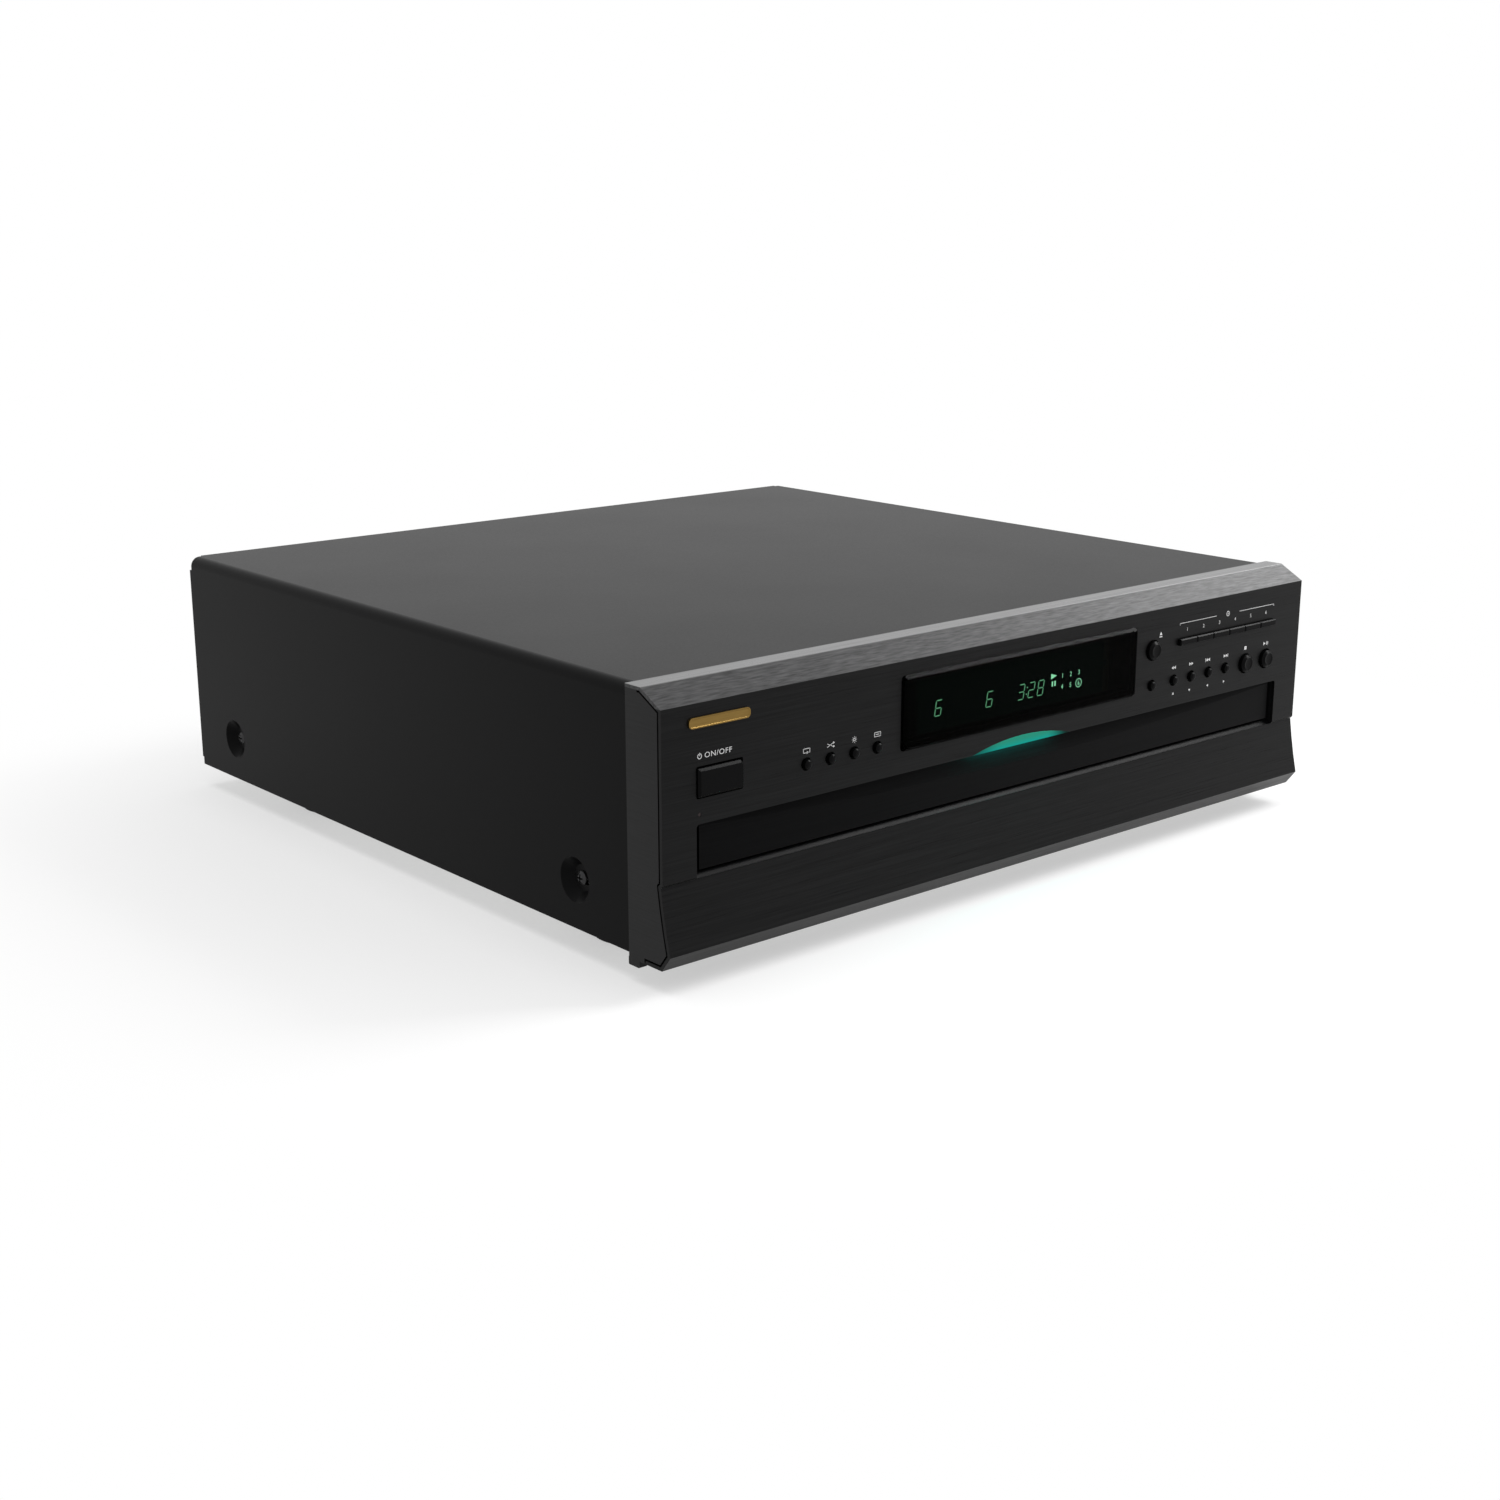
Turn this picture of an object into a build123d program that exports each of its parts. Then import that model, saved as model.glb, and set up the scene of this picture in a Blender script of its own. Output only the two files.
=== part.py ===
from build123d import *
from math import acos, atan2, cos, degrees, hypot, pi, radians, sin, tan
import os

# Six-disc carousel changer for compact discs. The whole carousel rides on one wide drawer.
# Millimetres, +Z up, +X to the right seen from the front, -Y to the front.
# Every piece is drawn with y = 0 on the flat front face and z = 0 on the surface that the feet stand on.
# The last step shifts them all, so that the origin is the middle of the footprint.

# Clearances
RUN = 0.05          # radial, shaft in its bore
SLIDE = 0.3         # sliding and turning pieces beside fixed ones
FIT = 0.1           # fixed pieces that drop into each other
SEAM = 0.3          # visible joint between two outer pieces

# Case
WIDTH = 435.0
TOP_Z = 130.0
FOOT_H = 12.4
SHEET = 1.0
CHASSIS_IN = 6.5    # chassis side inside the fascia's end
CHASSIS_SIDE_H, CHASSIS_FRONT_H = 38.0, 28.0
COVER_IN = 1.0      # cover side inside the fascia's end
COVER_DROP = 0.5    # cover top below the fascia top
COVER_T = 0.9
COVER_BEND = 5.2
CASE_DEPTH = 417.0  # front face to the rear edge of the cover
COVER_HEM = 8.0
HEM_NOTCH_D, HEM_NOTCH_H = 1.2, 4.2
REAR_INSET = 1.0    # rear panel inside the cover's rear edge
JACK_OUT = 9.0      # longest socket behind the rear panel

# Fascia, drawn as a section in (y, z)
FASCIA_D = 23.45
BEVEL_D = 13.6
BEVEL_H = 7.3
STEP_Z = 48.1
STEP_IN = 1.2
SKIRT_TOP_Z = 46.9
SKIRT_LOW_Z = 17.9
SKIRT_OUT = 4.6
SKIRT_BOW = 0.4
BASE_Z = 10.6
BASE_BEVEL_Y = 1.1
PANEL_T = 1.6       # brushed skin
GROOVE = 0.9        # dark line between the skin and the end cap
CAP_T = 4.0         # end cap thickness
CAP_PEG_R, CAP_PEG_Y = 1.8, 9.0
CAP_PEG_DOWN, CAP_PEG_Z = 18.0, 28.0    # upper peg from the top, lower peg above the ground
FRAME_T = 2.4       # moulded frame behind the skin
BASE_LIP = 12.0     # how far back the skin's lower lip runs
CAP_STRIP = 5.0     # rear part of the cap, out to the fascia's rear edge
TAB_D = 7.5         # small foot tab under the cap's rear corner
TAB_H = 2.3

# Window, display and light
WINDOW_SIDE = 13.4  # from the skip button to the window's right edge
WINDOW_Z0 = 81.2
WINDOW_DOWN = 6.7   # from the top of the face to the window
WINDOW_OUT = 1.6
WINDOW_BEVEL = 1.4
WINDOW_R = 2.0
WINDOW_RIM = 3.2    # ledge of the frame behind the window
TUBE_LEFT, TUBE_RIGHT = 14.5, 17.6   # from the window's edges to the tube
TUBE_D = 5.6
LENS_X = 34.0
LENS_RISE = 4.3
LENS_D = 6.0
LAMP_IN, LAMP_Z, LAMP_R = 20.0, 75.1, 0.75

# Drawer slot in the fascia and the drawer front
SLOT_MARGIN = 18.3  # from the fascia's end to the slot
SLOT_TOP_Z = 70.9
SLOT_R = 1.5
SILL_TOP_Z = 49.0
SILL_SLOPE = 2.1
FRONT_SIDE = 3.0    # gap at each side of the drawer front
FRONT_Z0, FRONT_Z1 = 50.3, 69.9
FRONT_IN = 2.25     # drawer front behind the flat face
FRONT_D = 6.3
SCOOP_Z = 62.0      # lower boundary of the scoop at the middle
SCOOP_RUN = 0.35    # how fast the scoop falls back with height
SCOOP_RADIUS = 7840.0

# Buttons
BUTTON_PITCH = 14.1
LEFT_ROW_STEP, LEFT_ROW_Z = 48.5, 86.0      # from the power key to the first of the row
RIGHT_ROW_STEP, RIGHT_ROW_Z = 59.3, 84.4    # from the stop button back to the first of the row
SKIP_STEP = 17.5
OPEN_STEP, OPEN_Z = 0.1, 102.4
PLAY_IN, STOP_STEP = 28.5, 17.5
SMALL_HOLE_R, SMALL_R, SMALL_OUT = 3.0, 2.1, 1.9
BIG_HOLE_R, BIG_R, BIG_OUT = 5.4, 4.6, 2.5
FLANGE_OVER = 1.2   # button flange beyond its cap
FLANGE_T = 1.2
STEM_R, STEM_L = 1.4, 1.4
TRAVEL = 1.0
POWER_IN, POWER_Z = 30.9, 88.85
POWER_W, POWER_H = 24.6, 12.3
POWER_HOLE_W, POWER_HOLE_H = 25.2, 13.9
POWER_OUT, POWER_BEVEL, POWER_CLIP = 1.7, 1.0, 1.6
KEY_SLOT_STEP, KEY_SLOT_Z = 34.85, 103.65   # from the play button back to the slot's middle
KEY_PITCH, KEY_COUNT = 13.28, 6
KEY_SLOT_H = 3.7
KEY_H = 3.3
KEY_GAP = 0.3
KEY_OUT = 2.1
BOARD_T = 1.6
BOARD_Y = 12.0      # front of the key board
BOARD_IN, BOARD_DOWN = 13.5, 3.7
BOSS_R, BOSS_DOWN = 3.0, 7.2
SWITCH_W = 6.0
SWITCH_GAP = 0.2    # free travel before the switch closes

# Carousel
DISC_R = 60.0
WELL_SLACK = 0.5
WELL_COUNT = 6
WELL_RIM = 3.5      # deck left outside each well
CAROUSEL_SIDE = 10.0        # from the tray's side to the carousel
CAROUSEL_FRONT, CAROUSEL_BACK = 4.45, 7.0
CAROUSEL_BASE_Z = 59.5
WELL_Z = 61.5
DECK_Z = 65.5
SMALL_DISC_R = 41.0
SMALL_DISC_DEEP = 0.8
WELL_CUT_X = 20.0   # half width of the cut that the disc drive comes up through
HUB_R, POST_R = 22.0, 8.0
CAP_R, CAP_RISE = 24.0, 2.0
RING_IN_R = 79.0
RING_STEP = 0.5     # wall over the toothed ring reaches further in
RING_Z = 56.0
GEAR_MODULE = 1.5
RING_TEETH = 112
DRIVE_TEETH = 14
GEAR_SLACK = 0.5    # thinning of each tooth
MESH_GAP = 0.1      # extra centre distance

# Drawer tray
TRAY_IN = 0.2       # tray side inside the drawer front's end
TRAY_FLOOR_Z = 53.5
TRAY_FLOOR_T = 2.0
TRAY_WALL = 2.0
TRAY_TOP_Z = 66.0
TRAY_BACK = 25.0    # from the tray's rear to the case's rear edge
TRAY_STUD_R, TRAY_STUD_IN = 4.0, 10.0
TRAY_ROUND = 2.5    # gap around the carousel
TONGUE_OUT = 1.8    # how far the tongue reaches into the rail
TONGUE_FRONT = 12.0
TRAY_CUT_X, TRAY_CUT_FRONT = 38.0, 33.0
DRAWER_TRAVEL = 230.0
RACK_H = 2.7
RACK_W = 6.0
RACK_IN = 14.0      # from the carousel's edge to the rack's pitch line
PINION_TEETH = 16
PINION_Y = 45.0

# Carousel motor in the tray's rear corner
MOTOR_IN, MOTOR_BACK = 28.0, 26.0
MOTOR_R, MOTOR_H = 12.0, 16.0
MOTOR_PLATE_T = 1.2
MOTOR_PLATE_OVER, MOTOR_PLATE_W = 13.0, 14.0
PULLEY_R, MOTOR_PULLEY_R = 9.0, 4.0
BELT_W, BELT_H = 1.2, 1.2
PULLEY_T = 2.2

# Side rails
RAIL_GAP, RAIL_IN = 0.6, 5.0        # to the tray's side, and to the chassis side
RAIL_WEB = 3.0
RAIL_TOP_Z = 60.0
RAIL_LOW_Z = 50.0
RAIL_Y0, RAIL_OVER = 24.5, 3.0
RAIL_FOOT = 3.5
RAIL_FOOT_T = 2.0

# Traverse with the disc drive, drawn raised
PIVOT_REACH, PIVOT_Z = 83.0, 48.0   # from the playing disc's middle back to the pivot
TRAVERSE_DROP = 8.5
TRAVERSE_X = 35.0
TRAVERSE_FRONT, TRAVERSE_BACK = 30.0, 6.0
TRAVERSE_TOP_Z, TRAVERSE_LOW_Z = 57.5, 46.0
TRAVERSE_T = 2.5
SLED_GAP_X = 17.0
SLED_GAP_STEP, SLED_GAP_BACK = 14.5, 10.0
ARM_X = 30.0
TRUNNION_R, TRUNNION_X = 3.0, 41.0
TABLE_TOP_Z = 67.5
TABLE_R, TABLE_T = 13.5, 1.6
NOSE_R, NOSE_H = 7.4, 2.7
SPINDLE_SHAFT_R = 1.0
SPINDLE_MOTOR_R, SPINDLE_MOTOR_H = 12.0, 11.0
SLED_STEP, SLED_RUN = 24.0, 34.0
SLED_HALF_Y = 9.2
SLED_HALF_X = 16.0
TURRET_X, TURRET_Y, TURRET_Z = 8.0, 7.0, 64.0
LENS_R, LENS_Z = 3.4, 65.2
ROD_R, ROD_X, ROD_Z = 1.5, 11.0, 50.0

# Lift
PIN_R = 1.5
SLIDER_STEP, SLIDER_T = 7.4, 2.2    # from the traverse's front to the slider's face
SLIDER_RUN = 26.0
SLIDER_Z0, SLIDER_Z1 = 26.0, 52.5
SLIDER_X0, SLIDER_X1 = -46.0, 24.0
SLOT_SLACK = 0.45
LIFT_RACK_T = 2.2
LIFT_RACK_D = 9.0
LIFT_MODULE = 1.0
LIFT_TEETH = 24
LIFT_GEAR_X = 12.0
CRADLE_X = 41.5
CRADLE_WALL = 5.0
CRADLE_T = 2.0
CRADLE_BACK = 7.0   # cradle behind the pivot

# Clamp
BRIDGE_Z = 72.0
BRIDGE_T = 1.2
BRIDGE_D = 36.0
BRIDGE_RIB = 6.0
BRIDGE_HOLE_R = 10.5
PUCK_Z, PUCK_R = 68.9, 16.0
PUCK_NECK_R, PUCK_CROWN_R = 9.5, 13.0

# Fixed motors, boards and sockets
GEAR_MOTOR_W, GEAR_MOTOR_D = 26.0, 22.0
GEAR_MOTOR_Z0, GEAR_MOTOR_Z1 = 19.4, 42.0
GEAR_SHAFT_R = 2.0
GEAR_SHAFT_Z = 45.5
FOOT_IN, FOOT_FRONT, FOOT_BACK = 40.6, 70.0, 83.0
FOOT_R = 22.0
STANDOFF = 6.0
STANDOFF_R, STANDOFF_IN, STANDOFF_BACK = 3.0, 6.0, 24.0
MAIN_IN, MAIN_GAP, MAIN_D = 16.0, 15.5, 123.0   # to the chassis side, to the cradle, and its depth
CHIPS = ((68.0, 65.0, 18.0, 18.0), (104.0, 83.0, 20.0, 14.0))   # from the inner rear corner, and sizes
CHIP_H = 2.4
CAPACITORS_X, CAPACITORS_Y = (28.0, 40.0), (103.0, 89.0)
CAPACITOR_R, CAPACITOR_H = 4.0, 9.0
VENT_X, VENT_BACK = 132.0, 182.0
VENT_PITCH, VENT_ROW, VENT_L, VENT_W = 18.0, 42.0, 34.0, 4.0
JACK_Z = 34.0
JACK_PITCH = 16.0
JACK_STEP = 20.0
RCA_R, RCA_BORE = 4.15, 1.7
RCA_FACE_R, RCA_FACE_DEEP = 3.55, 0.6
RCA_COLLAR_R = 5.65
OPTICAL_W = 9.0
CONTROL_R, CONTROL_BORE = 3.2, 1.8
SOCKET_OUT = 2.0    # square and control sockets behind the panel
JACK_BLOCK_D, JACK_BLOCK_UP = 14.0, 8.0     # behind the rear panel and above the sockets' middle
FLANGE_D, FLANGE_GAP, FLANGE_SIDE = 12.0, 20.0, 4.0     # rear panel's foot strips
CORE_X, CORE_Y, CORE_Z = 58.0, 48.0, 30.0
TRANSFORMER_IN, TRANSFORMER_BACK = 61.0, 54.0
GLAND_IN, GLAND_Z, GLAND_R = 25.0, 30.0, 8.0
GLAND_BORE_R = 3.6
GLAND_STEP, GLAND_DEEP = 2.0, 8.0

# Cover screws
DISH_R, DISH_FLOOR_R, DISH_DEEP = 10.5, 6.1, 4.5
DISH_FRONT, DISH_BACK, DISH_Z = 63.0, 41.0, 34.7
SCREW_HEAD_R, SCREW_HEAD_H = 3.15, 1.9
SCREW_R, SCREW_L = 1.5, 8.0
REAR_SCREW_XS, REAR_SCREW_DOWN = (-150.0, 0.0, 150.0), 4.9

# Derived places
HALF = WIDTH / 2
FACE_TOP_Z = TOP_Z - BEVEL_H
CHASSIS_X = HALF - CHASSIS_IN
COVER_X = HALF - COVER_IN
FRAME_Y0 = PANEL_T + FIT
FRAME_Y1 = FRAME_Y0 + FRAME_T
FLOOR_Z = FOOT_H + SHEET
COVER_TOP_Z = TOP_Z - COVER_DROP
COVER_Y0 = FASCIA_D + SEAM
REAR_Y = CASE_DEPTH - REAR_INSET
REAR_REACH = REAR_Y + JACK_OUT
FRAME_REAR_Y = FASCIA_D - 2.4
SLOT_X = HALF - SLOT_MARGIN
FRONT_X = SLOT_X - FRONT_SIDE
POWER_X = -(HALF - POWER_IN)
LAMP_X = -(HALF - LAMP_IN)
LEFT_ROW_X = POWER_X + LEFT_ROW_STEP
PLAY_X = HALF - PLAY_IN
STOP_X = PLAY_X - STOP_STEP
RIGHT_ROW_X = STOP_X - RIGHT_ROW_STEP
SKIP_X = RIGHT_ROW_X - SKIP_STEP
OPEN_X = SKIP_X - OPEN_STEP
KEY_SLOT_X = PLAY_X - KEY_SLOT_STEP
WINDOW_X = SKIP_X - WINDOW_SIDE
WINDOW_Z1 = FACE_TOP_Z - WINDOW_DOWN
TUBE_X0, TUBE_X1 = TUBE_LEFT - WINDOW_X, WINDOW_X - TUBE_RIGHT
BOARD_X, BOARD_Z1 = HALF - BOARD_IN, FACE_TOP_Z - BOARD_DOWN
REAR_SCREW_Z = COVER_TOP_Z - REAR_SCREW_DOWN
TRAY_X = FRONT_X - TRAY_IN
TRAY_Y0 = FRONT_IN + FRONT_D
TRAY_REAR_Y = CASE_DEPTH - TRAY_BACK
RAIL_X0, RAIL_X1 = TRAY_X + RAIL_GAP, CHASSIS_X - RAIL_IN
RAIL_Y1 = TRAY_REAR_Y + RAIL_OVER
TONGUE_X = RAIL_X0 + TONGUE_OUT
MOTOR_X, MOTOR_Y = MOTOR_IN - TRAY_X, TRAY_REAR_Y - MOTOR_BACK
WELL_R = DISC_R + WELL_SLACK
DEPTH_FOR_CAROUSEL = TRAY_REAR_Y - CAROUSEL_BACK - TRAY_Y0 - CAROUSEL_FRONT
CAROUSEL_R = min(TRAY_X - CAROUSEL_SIDE, DEPTH_FOR_CAROUSEL / 2)    # largest that fits the tray
CAROUSEL_Y = TRAY_Y0 + CAROUSEL_FRONT + CAROUSEL_R
RACK_X = RACK_IN - CAROUSEL_R
WELL_RING_R = CAROUSEL_R - WELL_R - WELL_RIM
PLAY_Y = CAROUSEL_Y + WELL_RING_R
TRAY_CUT_Y = PLAY_Y - TRAY_CUT_FRONT
PIVOT_Y = PLAY_Y + PIVOT_REACH
TRAVERSE_Y0, TRAVERSE_Y1 = PLAY_Y - TRAVERSE_FRONT, PIVOT_Y - TRAVERSE_BACK
SLED_GAP_Y0, SLED_GAP_Y1 = PLAY_Y + SLED_GAP_STEP, PIVOT_Y - SLED_GAP_BACK
SLED_Y0 = PLAY_Y + SLED_STEP
SLIDER_Y0 = TRAVERSE_Y0 - SLIDER_STEP
CRADLE_Y1 = PIVOT_Y + CRADLE_BACK
FOOT_X, FOOT_Y0, FOOT_Y1 = HALF - FOOT_IN, FOOT_FRONT, CASE_DEPTH - FOOT_BACK
MAIN_X0, MAIN_X1 = MAIN_IN - CHASSIS_X, -(CRADLE_X + CRADLE_WALL + MAIN_GAP)
JACK_X = MAIN_X1 - JACK_STEP
TRANSFORMER_X, TRANSFORMER_Y = CHASSIS_X - TRANSFORMER_IN, REAR_Y - TRANSFORMER_BACK
GLAND_X = CHASSIS_X - GLAND_IN
DISH_YS = (DISH_FRONT, CASE_DEPTH - DISH_BACK)
RACK_Z0 = TRAY_FLOOR_Z - RACK_H
RING_R = GEAR_MODULE * RING_TEETH / 2
DRIVE_R = GEAR_MODULE * DRIVE_TEETH / 2
DRIVE_TURN = atan2(MOTOR_Y - CAROUSEL_Y, MOTOR_X)
DRIVE_REACH = RING_R + DRIVE_R + MESH_GAP
DRIVE_X = DRIVE_REACH * cos(DRIVE_TURN)
DRIVE_Y = CAROUSEL_Y + DRIVE_REACH * sin(DRIVE_TURN)
PINION_R = GEAR_MODULE * PINION_TEETH / 2
PINION_X = RACK_X + PINION_R + MESH_GAP
LIFT_R = LIFT_MODULE * LIFT_TEETH / 2
SLIDER_Y1 = SLIDER_Y0 + SLIDER_T
LIFT_RACK_Z1 = SLIDER_Z1
LIFT_RACK_Z0 = LIFT_RACK_Z1 - LIFT_RACK_T
LIFT_PITCH_Y = SLIDER_Y0 - LIFT_RACK_D
LIFT_GEAR_Y = LIFT_PITCH_Y - LIFT_R - MESH_GAP
PULLEY_Z1 = TRAY_FLOOR_Z - SLIDE
PULLEY_Z0 = PULLEY_Z1 - PULLEY_T
BELT_Z0 = (PULLEY_Z0 + PULLEY_Z1 - BELT_H) / 2
RAIL_GROOVE_Z0 = TRAY_FLOOR_Z - SLIDE
RAIL_GROOVE_Z1 = TRAY_FLOOR_Z + TRAY_FLOOR_T + SLIDE
PRESSURE = radians(20)

ROUND_BUTTONS = {
    "repeat": (LEFT_ROW_X, LEFT_ROW_Z, SMALL_R, SMALL_HOLE_R, SMALL_OUT),
    "random": (LEFT_ROW_X + BUTTON_PITCH, LEFT_ROW_Z, SMALL_R, SMALL_HOLE_R, SMALL_OUT),
    "dimmer": (LEFT_ROW_X + 2 * BUTTON_PITCH, LEFT_ROW_Z, SMALL_R, SMALL_HOLE_R, SMALL_OUT),
    "display": (LEFT_ROW_X + 3 * BUTTON_PITCH, LEFT_ROW_Z, SMALL_R, SMALL_HOLE_R, SMALL_OUT),
    "disc_skip": (SKIP_X, RIGHT_ROW_Z, SMALL_R, SMALL_HOLE_R, SMALL_OUT),
    "rewind": (RIGHT_ROW_X, RIGHT_ROW_Z, SMALL_R, SMALL_HOLE_R, SMALL_OUT),
    "forward": (RIGHT_ROW_X + BUTTON_PITCH, RIGHT_ROW_Z, SMALL_R, SMALL_HOLE_R, SMALL_OUT),
    "previous": (RIGHT_ROW_X + 2 * BUTTON_PITCH, RIGHT_ROW_Z, SMALL_R, SMALL_HOLE_R, SMALL_OUT),
    "next": (RIGHT_ROW_X + 3 * BUTTON_PITCH, RIGHT_ROW_Z, SMALL_R, SMALL_HOLE_R, SMALL_OUT),
    "open_close": (OPEN_X, OPEN_Z, BIG_R, BIG_HOLE_R, BIG_OUT),
    "stop": (STOP_X, RIGHT_ROW_Z, BIG_R, BIG_HOLE_R, BIG_OUT),
    "play": (PLAY_X, RIGHT_ROW_Z, BIG_R, BIG_HOLE_R, BIG_OUT),
}
KEY_XS = [KEY_SLOT_X + KEY_PITCH * (k - (KEY_COUNT - 1) / 2) for k in range(KEY_COUNT)]
BUTTON_PLACES = [(x, z) for x, z, *_ in ROUND_BUTTONS.values()]
BUTTON_PLACES += [(POWER_X, POWER_Z)] + [(x, KEY_SLOT_Z) for x in KEY_XS]


# Plain shapes

def block(x0, x1, y0, y1, z0, z1):
    """Bar between two corners."""
    middle = Pos((x0 + x1) / 2, (y0 + y1) / 2, (z0 + z1) / 2)
    return middle * Box(x1 - x0, y1 - y0, z1 - z0)


def both_sides(x0, x1, y0, y1, z0, z1):
    """The same bar on the right and on the left."""
    return block(x0, x1, y0, y1, z0, z1) + block(-x1, -x0, y0, y1, z0, z1)


def disc_x(radius, y, z, x0, x1):
    """Round bar along X."""
    return Pos((x0 + x1) / 2, y, z) * Rot(0, 90, 0) * Cylinder(radius, x1 - x0)


def disc_y(radius, x, z, y0, y1):
    """Round bar along Y."""
    return Pos(x, (y0 + y1) / 2, z) * Rot(90, 0, 0) * Cylinder(radius, y1 - y0)


def disc_z(radius, x, y, z0, z1):
    """Round bar along Z."""
    return Pos(x, y, (z0 + z1) / 2) * Cylinder(radius, z1 - z0)


def prism_x(sketch, x0, x1):
    """Sketch in (y, z), drawn out along X."""
    return extrude(Plane.YZ.offset(x0) * sketch, x1 - x0)


def prism_y(sketch, y0, y1):
    """Sketch in (x, z), drawn out along Y."""
    return extrude(Plane((0, y1, 0), (1, 0, 0), (0, -1, 0)) * sketch, y1 - y0)


def prism_z(sketch, z0, z1):
    """Sketch in (x, y), drawn out along Z."""
    return extrude(Plane.XY.offset(z0) * sketch, z1 - z0)


def rounded(x, z, width, height, radius):
    """Rectangle with round corners about (x, z)."""
    return Pos(x, z) * RectangleRounded(width, height, radius)


def gear_face(teeth, module, steps, turn=0.0):
    """Spur gear outline with involute flanks of `steps` points, one tooth centred on angle `turn`."""
    pitch_r = module * teeth / 2
    base_r = pitch_r * cos(PRESSURE)
    tip_r = pitch_r + module
    root_r = pitch_r - 1.25 * module
    low_r = max(base_r, root_r)
    half = pi / (2 * teeth) - GEAR_SLACK / (2 * pitch_r)

    def roll(radius):
        angle = acos(min(1.0, base_r / radius))
        return tan(angle) - angle

    radii = [low_r + (tip_r - low_r) * i / (steps - 1) for i in range(steps)]
    flank = [(r, half + roll(pitch_r) - roll(r)) for r in radii]
    if low_r > root_r:
        flank.insert(0, (root_r, flank[0][1]))
    tooth = [(r, -a) for r, a in flank] + [(r, a) for r, a in reversed(flank)]
    points = []
    for k in range(teeth):
        centre = turn + 2 * pi * k / teeth
        points += [(r * cos(centre + a), r * sin(centre + a)) for r, a in tooth]
    return Polygon(*points, align=None)


def rack_face(length, module, back):
    """Rack outline along +Y with its pitch line on x = 0 and its teeth towards +X, a tooth at y = 0."""
    pitch = pi * module
    half = pitch / 4 - GEAR_SLACK / 2
    tip, root = module, -1.25 * module
    lean = tan(PRESSURE)
    points = []
    for k in range(int(length / pitch) + 1):
        y = k * pitch
        points += [(root, y - half + root * lean), (tip, y - half + tip * lean)]
        points += [(tip, y + half - tip * lean), (root, y + half - root * lean)]
    y0, y1 = points[0][1], points[-1][1]
    return Polygon(*points, (-back, y1), (-back, y0), align=None)


def meshed_turn(turn, teeth, direction, other_teeth):
    """Turn of a gear's teeth that meshes it with another, which lies in `direction` from it reversed."""
    pitch, other_pitch = 2 * pi / teeth, 2 * pi / other_teeth
    off = (turn - direction + pitch / 2) % pitch - pitch / 2
    return direction + pi - off * teeth / other_teeth - other_pitch / 2


# Fascia

def fascia_section(inset=0.0):
    """Side outline of the fascia in (y, z), shrunk all round by inset."""
    skirt_mid = ((STEP_IN - SKIRT_OUT) / 2 + SKIRT_BOW, (SKIRT_TOP_Z + SKIRT_LOW_Z) / 2)
    edge = Polyline(
        (STEP_IN, SKIRT_TOP_Z),
        (0, STEP_Z),
        (0, FACE_TOP_Z),
        (BEVEL_D, TOP_Z),
        (FASCIA_D, TOP_Z),
        (FASCIA_D, BASE_Z),
        (BASE_BEVEL_Y, BASE_Z),
        (-SKIRT_OUT, SKIRT_LOW_Z),
    ) + ThreePointArc((-SKIRT_OUT, SKIRT_LOW_Z), skirt_mid, (STEP_IN, SKIRT_TOP_Z))
    face = make_face(edge)
    return offset(face, amount=-inset, kind=Kind.INTERSECTION) if inset else face


def lens_face(slack=0.0):
    """Flat-bottomed arch of the light lens in (x, z)."""
    half, rise = LENS_X + slack, LENS_RISE + slack
    base = SLOT_TOP_Z
    arch = ThreePointArc((-half, base), (0, base + rise), (half, base)) + Line((half, base), (-half, base))
    return make_face(arch)


def button_cuts(y0, y1, round_slack, power_size, key_height):
    """Holes for all the buttons: the cap's own radius plus round_slack, or the panel's hole if None."""
    cuts = []
    for x, z, cap_r, hole_r, _ in ROUND_BUTTONS.values():
        cuts.append(disc_y(hole_r if round_slack is None else cap_r + round_slack, x, z, y0, y1))
    cuts.append(prism_y(rounded(POWER_X, POWER_Z, *power_size, 0.8), y0, y1))
    width = KEY_PITCH * KEY_COUNT
    cuts.append(prism_y(rounded(KEY_SLOT_X, KEY_SLOT_Z, width, key_height, 0.4), y0, y1))
    return cuts


def front_panel():
    """Brushed skin: flat strip, bevel, face, step, flared skirt and lower lip."""
    skin = prism_x(fascia_section() - fascia_section(PANEL_T), -HALF, HALF)
    inner_z0, inner_z1 = BASE_Z + PANEL_T, TOP_Z - PANEL_T
    skin -= block(-HALF, HALF, BEVEL_D, FASCIA_D + 1, inner_z0, inner_z1)
    skin -= block(-HALF, HALF, BASE_LIP, FASCIA_D + 1, BASE_Z - 1, inner_z0 + 1)
    back = FASCIA_D / 2
    slot_h = SLOT_TOP_Z - SKIRT_TOP_Z
    slot = block(-SLOT_X, SLOT_X, -1, back, SKIRT_TOP_Z, SLOT_TOP_Z - SLOT_R)
    slot += prism_y(rounded(0, SLOT_TOP_Z - slot_h / 2, 2 * SLOT_X, slot_h, SLOT_R), -1, back)
    skin -= slot
    window_h = WINDOW_Z1 - WINDOW_Z0
    opening = rounded(0, WINDOW_Z0 + window_h / 2, 2 * (WINDOW_X + FIT), window_h + 2 * FIT, WINDOW_R)
    skin -= prism_y(opening, -1, back)
    skin -= prism_y(lens_face(FIT), -1, back)
    skin -= disc_y(LAMP_R + FIT, LAMP_X, LAMP_Z, -1, back)
    skin -= button_cuts(-1, back, None, (POWER_HOLE_W, POWER_HOLE_H), KEY_SLOT_H)
    return skin


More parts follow.
